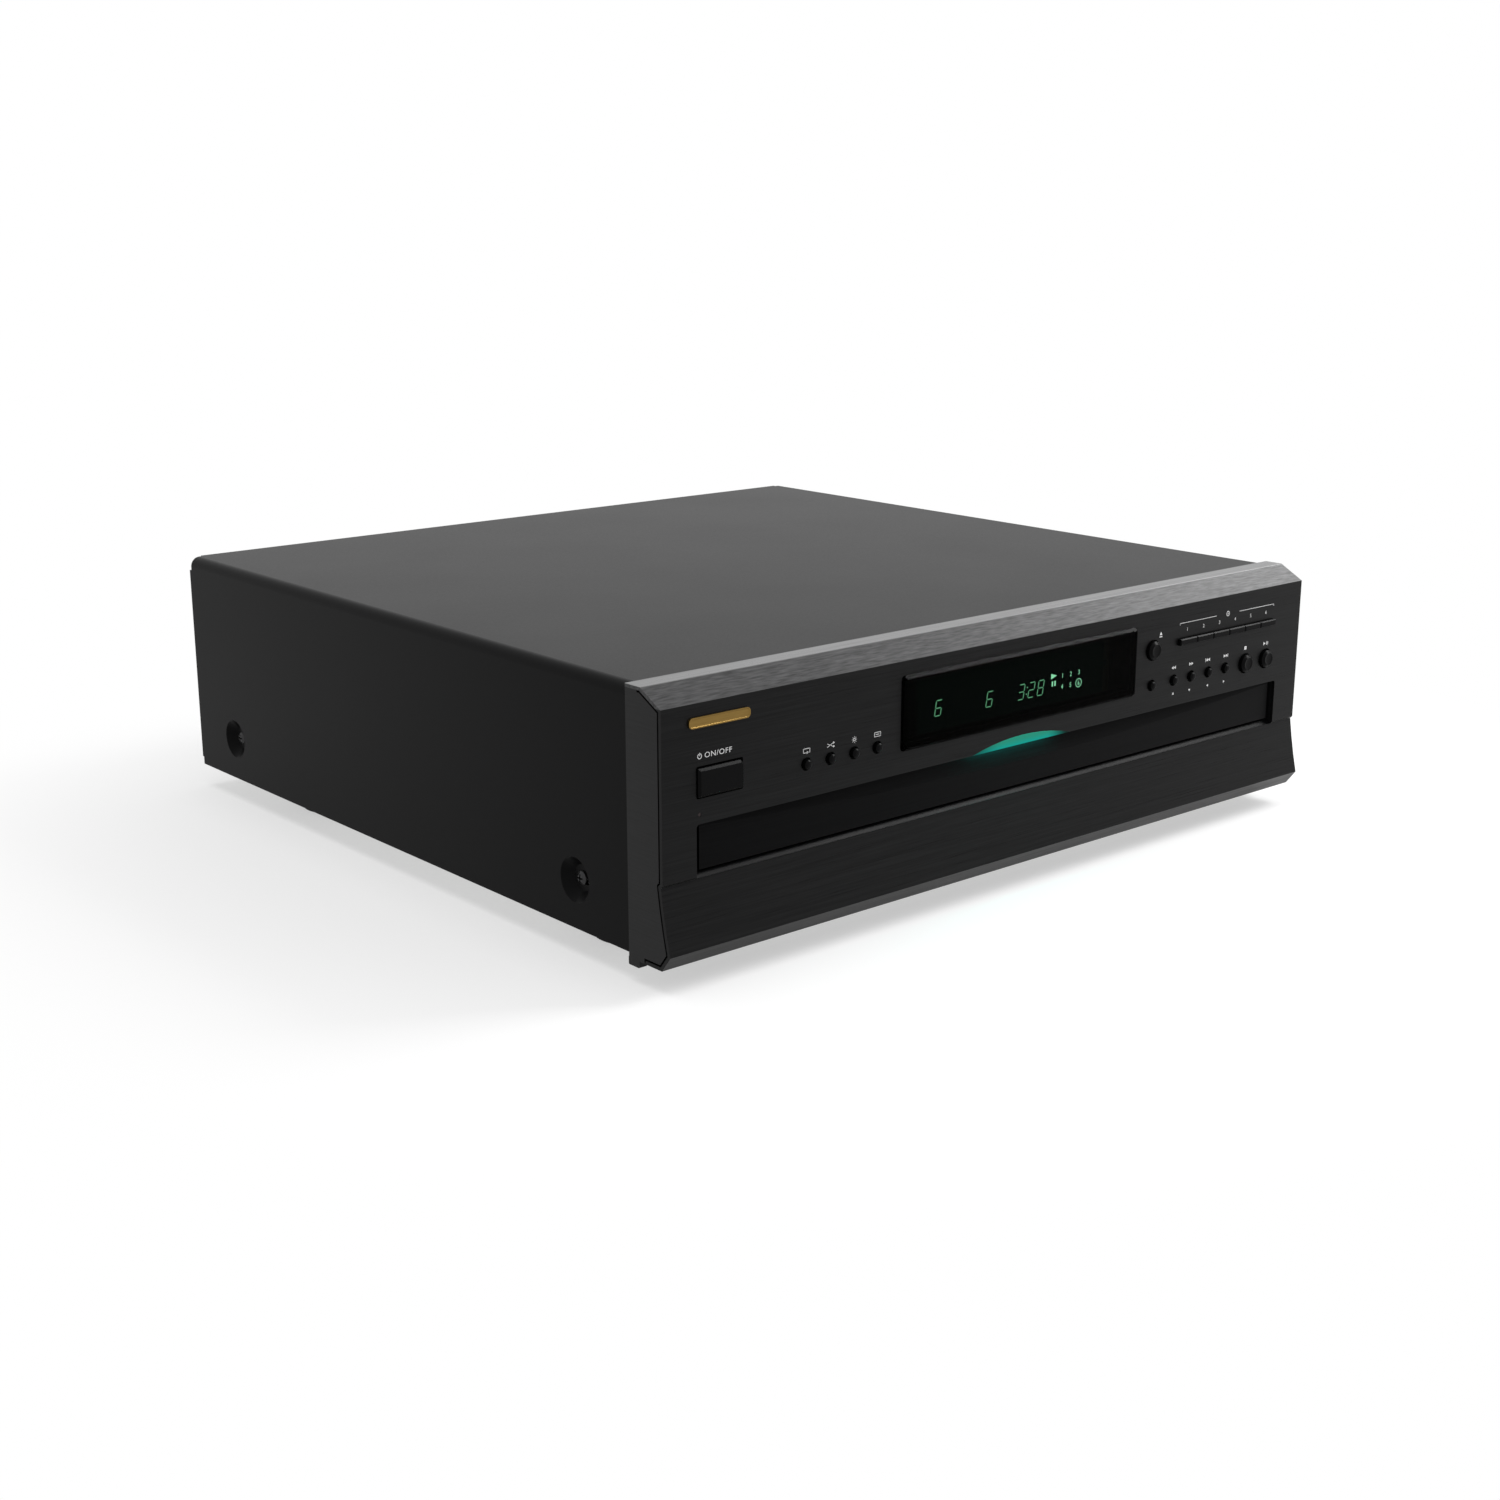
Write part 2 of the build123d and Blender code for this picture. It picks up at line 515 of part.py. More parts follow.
def panel_frame():
    """Moulded frame behind the skin, with the drawer tunnel and the guides of the buttons."""
    side = HALF - CAP_T - FIT
    frame = prism_x(fascia_section(FRAME_Y0) - fascia_section(FRAME_Y1), -side, side)
    frame -= block(-side, side, FRAME_REAR_Y, FASCIA_D, BASE_Z, TOP_Z)
    tunnel_x, tunnel_z0 = SLOT_X + FRAME_T, SKIRT_TOP_Z - FRAME_T
    mid = FRAME_Y0 + FRAME_T / 2
    frame += block(-tunnel_x, tunnel_x, mid + STEP_IN, FRAME_REAR_Y, tunnel_z0, SLOT_TOP_Z + FRAME_T)
    frame -= block(-SLOT_X, SLOT_X, -1, FASCIA_D, SKIRT_TOP_Z, SLOT_TOP_Z)
    rim = WINDOW_RIM
    sight_h = WINDOW_Z1 - WINDOW_Z0 - 2 * rim
    sight = rounded(0, (WINDOW_Z0 + WINDOW_Z1) / 2, 2 * (WINDOW_X - rim), sight_h, 1.0)
    frame -= prism_y(sight, -1, BOARD_Y)
    frame -= prism_y(lens_face(FIT), -1, LENS_D + FIT)
    frame -= disc_y(LAMP_R + FIT, LAMP_X, LAMP_Z, -1, BOARD_Y)
    power = (POWER_W + 2 * SLIDE, POWER_H + 2 * SLIDE)
    frame -= button_cuts(-1, BOARD_Y, 0.2, power, KEY_SLOT_H)
    between = (OPEN_X + BIG_HOLE_R + KEY_SLOT_X - KEY_PITCH * KEY_COUNT / 2) / 2
    for x in (LEFT_ROW_X, -WINDOW_X - 2 * BOSS_R, between, PLAY_X + 5 * BOSS_R):
        frame += disc_y(BOSS_R, x, FACE_TOP_Z - BOSS_DOWN, FRAME_Y1 - 0.5, BOARD_Y)
    return frame


def end_cap(side):
    """Moulded end of the fascia, flush with the skin's ends. side is 1 on the right and -1 on the left."""
    inset = PANEL_T + GROOVE
    section = fascia_section(inset)
    under_strip = Pos((BEVEL_D + FASCIA_D) / 2 + 1, TOP_Z - PANEL_T - 3)
    section += under_strip * Rectangle(FASCIA_D - BEVEL_D - 2, 6)
    strip_z0, strip_z1 = BASE_Z + PANEL_T, TOP_Z - PANEL_T - 1
    strip = Pos(FASCIA_D - CAP_STRIP / 2, (strip_z0 + strip_z1) / 2)
    section += strip * Rectangle(CAP_STRIP, strip_z1 - strip_z0)
    foot = Pos((BASE_LIP + GROOVE + FASCIA_D) / 2, BASE_Z + 3)
    section += foot * Rectangle(FASCIA_D - BASE_LIP - GROOVE, 6)
    tab = Pos(FASCIA_D - TAB_D / 2 + SEAM, BASE_Z - TAB_H / 2)
    section += tab * RectangleRounded(TAB_D, TAB_H + 1.6, 0.7)
    x0 = HALF - CAP_T
    cap = prism_x(section, x0, HALF)
    for z in (TOP_Z - CAP_PEG_DOWN, CAP_PEG_Z):
        cap += disc_x(CAP_PEG_R, CAP_PEG_Y, z, x0 - FIT, x0)
    return cap if side > 0 else mirror(cap, Plane.YZ)


def drawer_sill():
    """Separate lip along the bottom of the drawer slot."""
    low = SKIRT_TOP_Z
    y0 = STEP_IN + 0.6
    edge = Polyline(
        (y0, low), (y0 + SILL_SLOPE, SILL_TOP_Z), (FRAME_REAR_Y, SILL_TOP_Z), (FRAME_REAR_Y, low), close=True
    )
    reach = SLOT_X - FIT
    return prism_x(make_face(edge), -reach, reach)


def display_window():
    """Clear block with bevelled edges that stands out of the face."""
    height = WINDOW_Z1 - WINDOW_Z0
    middle = (WINDOW_Z0 + WINDOW_Z1) / 2
    pane = prism_y(rounded(0, middle, 2 * WINDOW_X, height, WINDOW_R - FIT), -WINDOW_OUT, FRAME_Y0)
    return chamfer(pane.faces().sort_by(Axis.Y)[0].edges(), WINDOW_BEVEL)


def display_tube():
    """Flat glass envelope of the fluorescent display, with its evacuation tip."""
    z0, z1 = WINDOW_Z0 + WINDOW_RIM, WINDOW_Z1 - WINDOW_RIM
    tube = block(TUBE_X0, TUBE_X1, BOARD_Y - TUBE_D, BOARD_Y, z0, z1)
    return tube + disc_x(1.4, BOARD_Y - TUBE_D / 2, (z0 + z1) / 2, TUBE_X1, TUBE_X1 + 5)


def light_lens():
    """Translucent light strip whose underside is the top of the drawer slot."""
    return prism_y(lens_face(), 0, LENS_D)


def standby_lamp():
    """Small round lamp on long legs, carried by the key board."""
    return disc_y(LAMP_R, LAMP_X, LAMP_Z, 0.2, BOARD_Y + BOARD_T)


def key_board():
    """Board behind the fascia with one push switch behind each button."""
    board = block(-BOARD_X, BOARD_X, BOARD_Y, BOARD_Y + BOARD_T, LAMP_Z + LAMP_R + FIT, BOARD_Z1)
    flange_y = FRAME_Y1 + SLIDE + FLANGE_T + STEM_L
    plunger_y = flange_y + TRAVEL + SWITCH_GAP
    for x, z in BUTTON_PLACES:
        board += disc_y(1.7, x, z, plunger_y, BOARD_Y)
        board += block(x - SWITCH_W / 2, x + SWITCH_W / 2, plunger_y + 1, BOARD_Y, z - 3, z + 3)
    return board


# Buttons

def button_stem(x, z):
    """Thin stem that works the switch."""
    y0 = FRAME_Y1 + SLIDE + FLANGE_T
    return disc_y(STEM_R, x, z, y0, y0 + STEM_L)


def round_button(x, z, cap_r, proud):
    """Cap with a softened edge and a dished face, held by a flange behind the frame."""
    y0 = FRAME_Y1 + SLIDE
    soft = cap_r * 0.3
    dish = 0.25 if cap_r > 3 else -0.25
    outline = Polyline(
        (0, proud - dish),
        (cap_r * 0.45, proud - dish * 0.7),
        (cap_r - soft, proud),
        (cap_r, proud - soft * 0.8),
        (cap_r, -y0),
        (cap_r + FLANGE_OVER, -y0),
        (cap_r + FLANGE_OVER, -y0 - FLANGE_T),
        (0, -y0 - FLANGE_T),
        close=True,
    )
    cap = revolve(Plane.XZ * make_face(outline), Axis.Z)
    return Pos(x, 0, z) * Rot(90, 0, 0) * cap + button_stem(x, z)


def power_button():
    """Wide key with bevelled edges and one clipped corner."""
    y0 = FRAME_Y1 + SLIDE
    outline = Pos(POWER_X, POWER_Z) * Rectangle(POWER_W, POWER_H)
    corner = outline.vertices().sort_by(Axis.X)[-2:].sort_by(Axis.Y)[-1]
    cap = prism_y(chamfer(corner, POWER_CLIP), -POWER_OUT, y0)
    cap = chamfer(cap.faces().sort_by(Axis.Y)[0].edges(), POWER_BEVEL)
    flange = Pos(POWER_X, POWER_Z) * Rectangle(POWER_W + 2 * FLANGE_OVER, POWER_H + 2 * FLANGE_OVER)
    return cap + prism_y(flange, y0, y0 + FLANGE_T) + button_stem(POWER_X, POWER_Z)


def disc_key(index):
    """One key of the disc select row."""
    x, y0 = KEY_XS[index], FRAME_Y1 + SLIDE
    width = KEY_PITCH - KEY_GAP
    cap = prism_y(Pos(x, KEY_SLOT_Z) * Rectangle(width, KEY_H), -KEY_OUT, y0)
    cap = chamfer(cap.faces().sort_by(Axis.Y)[0].edges(), 0.5)
    flange = Pos(x, KEY_SLOT_Z) * Rectangle(width, KEY_H + 2 * FLANGE_OVER)
    return cap + prism_y(flange, y0, y0 + FLANGE_T) + button_stem(x, KEY_SLOT_Z)


# Case

def cover_section(inset, low):
    """Cover outline in (x, z), open at the bottom, shrunk by inset."""
    half, top = COVER_X - inset, COVER_TOP_Z - inset
    plate = Pos(0, (top + low) / 2) * Rectangle(2 * half, top - low)
    corners = plate.vertices().group_by(Axis.Y)[-1]
    return fillet(corners, COVER_BEND - inset) if inset < COVER_BEND else plate


def cover_dish(y):
    """Dished seat for one side screw, as the piece to add and the piece to cut."""
    surface, floor = COVER_X, COVER_X - DISH_DEEP
    bowl = Polyline((0, 0), (DISH_R, 0), (DISH_FLOOR_R, -DISH_DEEP), (0, -DISH_DEEP), close=True)
    shell = Polyline(
        (0, -COVER_T), (DISH_R + COVER_T, -COVER_T), (DISH_FLOOR_R + COVER_T, -DISH_DEEP - COVER_T),
        (0, -DISH_DEEP - COVER_T), close=True,
    )
    place = Pos(surface, y, DISH_Z) * Rot(0, 90, 0)
    cut = place * revolve(Plane.XZ * make_face(bowl), Axis.Z)
    add = place * revolve(Plane.XZ * make_face(shell), Axis.Z)
    hole = Plane((floor + 1, y - 1.6, DISH_Z), (0, 1, 0), (1, 0, 0)) * SlotOverall(8.4, 5.4)
    return add, cut + extrude(hole, -3)


def top_cover():
    """Folded sheet cover: top, two sides, a rear hem and the dished screw seats."""
    low = FOOT_H
    cover = prism_y(cover_section(0, low), COVER_Y0, CASE_DEPTH)
    inner = cover_section(COVER_T, low - 1)
    cover -= prism_y(inner, COVER_Y0 - 1, CASE_DEPTH - COVER_T)
    opening = cover_section(COVER_HEM, low - 1)
    cover -= prism_y(opening, REAR_Y, CASE_DEPTH + 1)
    notch = 2.0
    for side in (-1, 1):
        x = side * (COVER_X - COVER_BEND)
        z = COVER_TOP_Z - COVER_BEND
        corner = Box(2 * COVER_BEND + 2 * notch, 2 * notch, 2 * COVER_BEND + 2 * notch)
        cover -= Pos(x + side * COVER_BEND, CASE_DEPTH, z + COVER_BEND) * corner
        xs = sorted((side * (COVER_X - COVER_HEM - 1), side * (COVER_X + 1)))
        cover -= block(*xs, CASE_DEPTH - HEM_NOTCH_D, CASE_DEPTH + 1, low - 1, low + HEM_NOTCH_H)
    for y in DISH_YS:
        add, cut = cover_dish(y)
        for piece in (add, mirror(add, Plane.YZ)):
            cover += piece
        for piece in (cut, mirror(cut, Plane.YZ)):
            cover -= piece
    for x in REAR_SCREW_XS:
        cover -= disc_y(SCREW_R + FIT, x, REAR_SCREW_Z, REAR_Y, CASE_DEPTH + 1)
    return cover


def screw(length):
    """Pan head screw along -Z from its seat at z = 0, with a cross recess."""
    edge = Polyline((0, SCREW_HEAD_H), (SCREW_HEAD_R * 0.5, SCREW_HEAD_H * 0.9),
                    (SCREW_HEAD_R, SCREW_HEAD_H * 0.4),
                    (SCREW_HEAD_R, 0), (SCREW_R, 0), (SCREW_R, -length), (0, -length), close=True)
    body = revolve(Plane.XZ * make_face(edge), Axis.Z)
    for turn in (0, 90):
        body -= Pos(0, 0, SCREW_HEAD_H) * Rot(0, 0, turn) * Box(3.6, 0.9, 2 * SCREW_HEAD_H - 1.2)
    return body


def cover_screws():
    """Screws that hold the cover: two in each side and three along the top of the rear hem."""
    floor = COVER_X - DISH_DEEP
    right = [Pos(floor, y, DISH_Z) * Rot(0, 90, 0) * screw(SCREW_L) for y in DISH_YS]
    left = [mirror(piece, Plane.YZ) for piece in right]
    rear = [Pos(x, CASE_DEPTH, REAR_SCREW_Z) * Rot(-90, 0, 0) * screw(SCREW_L) for x in REAR_SCREW_XS]
    return Compound(children=[Solid(piece.solid().wrapped) for piece in right + left + rear])


def bottom_chassis():
    """Folded steel pan with side flanges, a front flange and vent slots."""
    y0, inner_x = FRAME_REAR_Y, CHASSIS_X - SHEET
    side_z, front_z = FLOOR_Z + CHASSIS_SIDE_H, FLOOR_Z + CHASSIS_FRONT_H
    pan = block(-CHASSIS_X, CHASSIS_X, y0, REAR_Y - SHEET, FOOT_H, side_z)
    pan -= block(-inner_x, inner_x, y0 + SHEET, REAR_Y, FLOOR_Z, side_z + 1)
    pan -= block(-inner_x, inner_x, y0 - 1, y0 + 2 * SHEET, front_z, side_z + 1)
    for row in range(2):
        for k in range(5):
            vent = Pos(VENT_PITCH * k - VENT_X, CASE_DEPTH - VENT_BACK + VENT_ROW * row)
            vent *= SlotOverall(VENT_L, VENT_W, rotation=90)
            pan -= prism_z(vent, FOOT_H - 1, FLOOR_Z + 1)
    for y in DISH_YS:
        for side in (-1, 1):
            xs = sorted((side * (inner_x - 1), side * (CHASSIS_X + 1)))
            pan -= disc_x(SCREW_R + FIT, y, DISH_Z, *xs)
    return pan


def rear_panel():
    """Folded rear plate with the openings for the sockets and the cord's gland."""
    x, top = COVER_X - COVER_T - SEAM, COVER_TOP_Z - COVER_T - SEAM
    plate = Pos(0, (FOOT_H + top) / 2) * Rectangle(2 * x, top - FOOT_H)
    plate = fillet(plate.vertices().group_by(Axis.Y)[-1], COVER_BEND - COVER_T)
    panel = prism_y(plate, REAR_Y - SHEET, REAR_Y)
    flange_x0, flange_x1 = CRADLE_X + FLANGE_GAP, CHASSIS_X - FLANGE_SIDE
    flange_y0 = REAR_Y - FLANGE_D
    panel += both_sides(flange_x0, flange_x1, flange_y0, REAR_Y - SHEET, FLOOR_Z, FLOOR_Z + SHEET)
    for k in (0, 1, 2):
        panel -= disc_y(RCA_R + FIT, JACK_X - JACK_PITCH * k, JACK_Z, REAR_Y - 2, REAR_Y + 1)
    x = JACK_X - 3 * JACK_PITCH
    opening = OPTICAL_W + 2 * FIT
    panel -= prism_y(Pos(x, JACK_Z) * Rectangle(opening, opening), REAR_Y - 2, REAR_Y + 1)
    for k in (4, 5):
        panel -= disc_y(CONTROL_R + FIT, JACK_X - JACK_PITCH * k, JACK_Z, REAR_Y - 2, REAR_Y + 1)
    panel -= disc_y(GLAND_R - GLAND_STEP + FIT, GLAND_X, GLAND_Z, REAR_Y - 2, REAR_Y + 1)
    for screw_x in REAR_SCREW_XS:
        panel -= disc_y(SCREW_R + FIT, screw_x, REAR_SCREW_Z, REAR_Y - 2, REAR_Y + 1)
    return panel


def feet():
    """Four round feet, each a cup with a screw boss."""
    edge = Polyline((4, 3), (FOOT_R - 9, 3), (FOOT_R - 7, 0), (FOOT_R - 1.5, 0), (FOOT_R - 0.5, 1.5),
                    (FOOT_R, FOOT_H - 2), (FOOT_R - 1, FOOT_H), (2, FOOT_H), (2, 6), (4, 6), close=True)
    foot = revolve(Plane.XZ * make_face(edge), Axis.Z)
    places = [(x, y) for x in (-FOOT_X, FOOT_X) for y in (FOOT_Y0, FOOT_Y1)]
    return Compound(children=[Solid((Pos(x, y, 0) * foot).solid().wrapped) for x, y in places])


# Drawer

def drawer_front():
    """Drawer front with the crescent scoop along its top edge."""
    front = block(-FRONT_X, FRONT_X, FRONT_IN, FRONT_IN + FRONT_D, FRONT_Z0, FRONT_Z1)
    lean = hypot(1, SCOOP_RUN)
    start = Plane((0, FRONT_IN, SCOOP_Z), (1, 0, 0), (0, SCOOP_RUN / lean, 1 / lean))
    sag = (FRONT_X + 5) ** 2 / (2 * SCOOP_RADIUS)
    reach = FRONT_X + 5
    arch = ThreePointArc((-reach, -sag), (0, 0), (reach, -sag))
    arch += Polyline((reach, -sag), (reach, -sag - 12), (-reach, -sag - 12), (-reach, -sag))
    tool = start * make_face(arch)
    front -= extrude(tool, 30) + extrude(tool, -30)
    return front


def drawer_tray():
    """Moulded tray: floor, walls, corner decks, side tongues, rack, bearing and the traverse's opening."""
    floor_z, floor_top = TRAY_FLOOR_Z, TRAY_FLOOR_Z + TRAY_FLOOR_T
    round_r = CAROUSEL_R + TRAY_ROUND
    tray = block(-TRAY_X, TRAY_X, TRAY_Y0, TRAY_REAR_Y, floor_z, TRAY_TOP_Z)
    tray -= disc_z(round_r, 0, CAROUSEL_Y, floor_top, TRAY_TOP_Z + 1)
    hollow = block(-TRAY_X + TRAY_WALL, TRAY_X - TRAY_WALL, TRAY_Y0 + TRAY_WALL, TRAY_REAR_Y - TRAY_WALL,
                   floor_z - 1, TRAY_TOP_Z - TRAY_WALL)
    hollow -= disc_z(round_r + TRAY_WALL, 0, CAROUSEL_Y, floor_z - 1, TRAY_TOP_Z)
    tray -= hollow
    tray += both_sides(TRAY_X, TONGUE_X, TRAY_Y0 + TONGUE_FRONT, TRAY_REAR_Y, floor_z, floor_top)
    tray -= block(-TRAY_CUT_X, TRAY_CUT_X, TRAY_CUT_Y, TRAY_REAR_Y + 1, floor_z - 1, TRAY_TOP_Z + 1)
    tray += disc_z(HUB_R, 0, CAROUSEL_Y, floor_top, CAROUSEL_BASE_Z - SLIDE)
    tray += disc_z(POST_R, 0, CAROUSEL_Y, floor_top, DECK_Z)
    for angle in (30, 150, 210, 270, 330):
        reach = CAROUSEL_R - TRAY_STUD_IN
        x, y = reach * cos(radians(angle)), CAROUSEL_Y + reach * sin(radians(angle))
        tray += disc_z(TRAY_STUD_R, x, y, floor_top, CAROUSEL_BASE_Z - SLIDE)
    tray -= disc_z(POST_R / 2 + 1 + RUN, DRIVE_X, DRIVE_Y, floor_z - 1, floor_top + 1)
    along = atan2(MOTOR_Y - DRIVE_Y, MOTOR_X - DRIVE_X) + pi / 2
    for side in (-1, 1):
        x = MOTOR_X + side * (MOTOR_R + 3) * cos(along)
        y = MOTOR_Y + side * (MOTOR_R + 3) * sin(along)
        tray += disc_z(3, x, y, PULLEY_Z0 - SLIDE, TRAY_TOP_Z - TRAY_WALL)
    length = DRAWER_TRAVEL + 2 * PINION_R
    pitch = pi * GEAR_MODULE
    first_y = PINION_Y - pitch * int(PINION_R / pitch)
    rack = Pos(RACK_X, first_y) * rack_face(length, GEAR_MODULE, RACK_W)
    tray += prism_z(rack, RACK_Z0, floor_z)
    return tray


def carousel():
    """Six-well carousel with its hollowed underside and the toothed ring that turns it."""
    body = disc_z(CAROUSEL_R, 0, CAROUSEL_Y, CAROUSEL_BASE_Z, DECK_Z)
    body = chamfer(body.edges().group_by(Axis.Z)[-1], 0.8)
    wall = 2.0
    pocket = disc_z(CAROUSEL_R - wall, 0, CAROUSEL_Y, CAROUSEL_BASE_Z - 1, DECK_Z - wall)
    pocket -= disc_z(HUB_R, 0, CAROUSEL_Y, CAROUSEL_BASE_Z - 1, DECK_Z)
    ring_wall = disc_z(RING_R + 2 * GEAR_MODULE, 0, CAROUSEL_Y, CAROUSEL_BASE_Z - 1, DECK_Z)
    pocket -= ring_wall - disc_z(RING_IN_R - RING_STEP, 0, CAROUSEL_Y, CAROUSEL_BASE_Z - 1, DECK_Z)
    cuts = []
    for k in range(WELL_COUNT):
        angle = pi / 2 + 2 * pi * k / WELL_COUNT
        x, y = WELL_RING_R * cos(angle), CAROUSEL_Y + WELL_RING_R * sin(angle)
        pocket -= disc_z(WELL_R + wall, x, y, CAROUSEL_BASE_Z - 1, DECK_Z)
        slot = Pos(x, y, 0) * Rot(0, 0, degrees(angle))
        way = slot * block(0, CAROUSEL_R, -WELL_CUT_X, WELL_CUT_X, CAROUSEL_BASE_Z - 1, DECK_Z + 1)
        cuts.append(disc_z(WELL_R, x, y, WELL_Z, DECK_Z + 1))
        cuts.append(disc_z(SMALL_DISC_R, x, y, WELL_Z - SMALL_DISC_DEEP, DECK_Z))
        cuts.append(disc_z(WELL_CUT_X, x, y, CAROUSEL_BASE_Z - 1, DECK_Z + 1))
        cuts.append(way)
    body -= pocket
    body -= cuts
    teeth = gear_face(RING_TEETH, GEAR_MODULE, 2) - Circle(RING_IN_R)
    body += Pos(0, CAROUSEL_Y, 0) * prism_z(teeth, RING_Z, CAROUSEL_BASE_Z)
    body -= disc_z(POST_R + RUN, 0, CAROUSEL_Y, CAROUSEL_BASE_Z - 1, DECK_Z + 1)
    return body


def carousel_cap():
    """Shallow cap over the carousel's hub."""
    edge = Polyline((0, 0), (CAP_R, 0), (CAP_R - 0.6, CAP_RISE * 0.6), (CAP_R - 4, CAP_RISE),
                    (0, CAP_RISE), close=True)
    return Pos(0, CAROUSEL_Y, DECK_Z) * revolve(Plane.XZ * make_face(edge), Axis.Z)


def pulley(radius):
    """Grooved wheel at z = 0 upwards, with the belt's groove half way up."""
    deep, edge = radius - BELT_W, (PULLEY_T - BELT_H) / 2 - FIT
    outline = Polyline(
        (0, 0), (radius, 0), (radius, edge), (deep, edge + FIT), (deep, PULLEY_T - edge - FIT),
        (radius, PULLEY_T - edge), (radius, PULLEY_T), (0, PULLEY_T), close=True,
    )
    return revolve(Plane.XZ * make_face(outline), Axis.Z)


def carousel_drive_gear():
    """Pinion in mesh with the carousel's ring, with its shaft and belt pulley below the tray floor."""
    turn = meshed_turn(0.0, RING_TEETH, DRIVE_TURN, DRIVE_TEETH)
    z0 = TRAY_FLOOR_Z + TRAY_FLOOR_T + SLIDE
    teeth = prism_z(gear_face(DRIVE_TEETH, GEAR_MODULE, 4, turn), z0, CAROUSEL_BASE_Z - SLIDE)
    gear = Pos(DRIVE_X, DRIVE_Y, 0) * teeth
    gear += disc_z(POST_R / 2 + 1, DRIVE_X, DRIVE_Y, PULLEY_Z0, z0)
    return gear + Pos(DRIVE_X, DRIVE_Y, PULLEY_Z0) * pulley(PULLEY_R)


def carousel_pulley():
    """Small pulley on the carousel motor's shaft."""
    wheel = Pos(MOTOR_X, MOTOR_Y, PULLEY_Z0) * pulley(MOTOR_PULLEY_R)
    return wheel - disc_z(SPINDLE_SHAFT_R + RUN, MOTOR_X, MOTOR_Y, PULLEY_Z0 - 1, PULLEY_Z1 + 1)


def carousel_motor():
    """Round motor with its mounting plate, hung in the tray's rear corner."""
    top = PULLEY_Z0 - SLIDE
    body = disc_z(MOTOR_R, MOTOR_X, MOTOR_Y, top - MOTOR_PLATE_T - MOTOR_H, top - MOTOR_PLATE_T)
    body = chamfer(body.edges().group_by(Axis.Z)[0], 1.0)
    along = degrees(atan2(MOTOR_Y - DRIVE_Y, MOTOR_X - DRIVE_X)) + 90
    plate = SlotOverall(2 * MOTOR_R + MOTOR_PLATE_OVER, MOTOR_PLATE_W, rotation=along)
    body += prism_z(Pos(MOTOR_X, MOTOR_Y) * plate, top - MOTOR_PLATE_T, top)
    return body + disc_z(SPINDLE_SHAFT_R, MOTOR_X, MOTOR_Y, top, PULLEY_Z1)


def carousel_belt():
    """Flat rubber belt round both pulleys."""
    big, small = PULLEY_R - BELT_W + FIT, MOTOR_PULLEY_R - BELT_W + FIT

    def loop(extra):
        one = Pos(DRIVE_X, DRIVE_Y) * CenterArc((0, 0), big + extra, 0, 360)
        two = Pos(MOTOR_X, MOTOR_Y) * CenterArc((0, 0), small + extra, 0, 360)
        return make_hull(ShapeList([one.edge(), two.edge()]))

    return prism_z(loop(BELT_W) - loop(0), BELT_Z0, BELT_Z0 + BELT_H)


# Rails and the drawer's drive

def rail(side):
    """Side rail with the groove that the tray's tongue runs in."""
    edge = Polyline(
        (RAIL_X1 - RAIL_WEB, FLOOR_Z),
        (RAIL_X1 + RAIL_FOOT, FLOOR_Z),
        (RAIL_X1 + RAIL_FOOT, FLOOR_Z + RAIL_FOOT_T),
        (RAIL_X1, FLOOR_Z + RAIL_FOOT_T),
        (RAIL_X1, RAIL_TOP_Z),
        (RAIL_X0, RAIL_TOP_Z),
        (RAIL_X0, RAIL_GROOVE_Z1),
        (TONGUE_X + SLIDE, RAIL_GROOVE_Z1),
        (TONGUE_X + SLIDE, RAIL_GROOVE_Z0),
        (RAIL_X0, RAIL_GROOVE_Z0),
        (RAIL_X0, RAIL_LOW_Z),
        (RAIL_X1 - RAIL_WEB, RAIL_LOW_Z),
        close=True,
    )
    piece = prism_y(make_face(edge), RAIL_Y0, RAIL_Y1)
    span = (RAIL_Y1 - RAIL_Y0) / 4
    for k in range(4):
        y = RAIL_Y0 + span * (k + 0.5)
        piece -= block(RAIL_X0, RAIL_X1 + 5, y - span * 0.32, y + span * 0.32, FLOOR_Z - 1, RAIL_LOW_Z - 8)
    return piece if side > 0 else mirror(piece, Plane.YZ)


def drawer_pinion():
    """Gear on the loading motor's shaft that drives the tray's rack."""
    turn = pi - pi / PINION_TEETH
    gear = prism_z(gear_face(PINION_TEETH, GEAR_MODULE, 4, turn), RACK_Z0 + FIT, TRAY_FLOOR_Z - SLIDE)
    gear += disc_z(5, 0, 0, GEAR_MOTOR_Z1 + SLIDE, RACK_Z0 + FIT)
    gear -= disc_z(GEAR_SHAFT_R + RUN, 0, 0, GEAR_MOTOR_Z1, GEAR_SHAFT_Z + 0.5)
    return Pos(PINION_X, PINION_Y, 0) * gear


def gear_motor(x, y):
    """Geared motor on four legs, output shaft up."""
    half_w, half_d = GEAR_MOTOR_W / 2, GEAR_MOTOR_D / 2
    body = block(-half_w, half_w, -half_d, half_d, GEAR_MOTOR_Z0, GEAR_MOTOR_Z1)
    body = fillet(body.edges().filter_by(Axis.Z), 3.0)
    for leg_x in (-half_w + 3, half_w - 3):
        for leg_y in (-half_d + 3, half_d - 3):
            body += disc_z(2.5, leg_x, leg_y, FLOOR_Z, GEAR_MOTOR_Z0)
    body += disc_z(GEAR_SHAFT_R, 0, 0, GEAR_MOTOR_Z1, GEAR_SHAFT_Z)
    return Pos(x, y, 0) * body


def gear_motors():
    """The drawer's motor and the lift's motor, alike."""
    pair = [gear_motor(PINION_X, PINION_Y), gear_motor(LIFT_GEAR_X, LIFT_GEAR_Y)]
    return Compound(children=[Solid(piece.solid().wrapped) for piece in pair])


# Traverse, lift and clamp. Pieces of the traverse are drawn raised and then lowered about the pivot.

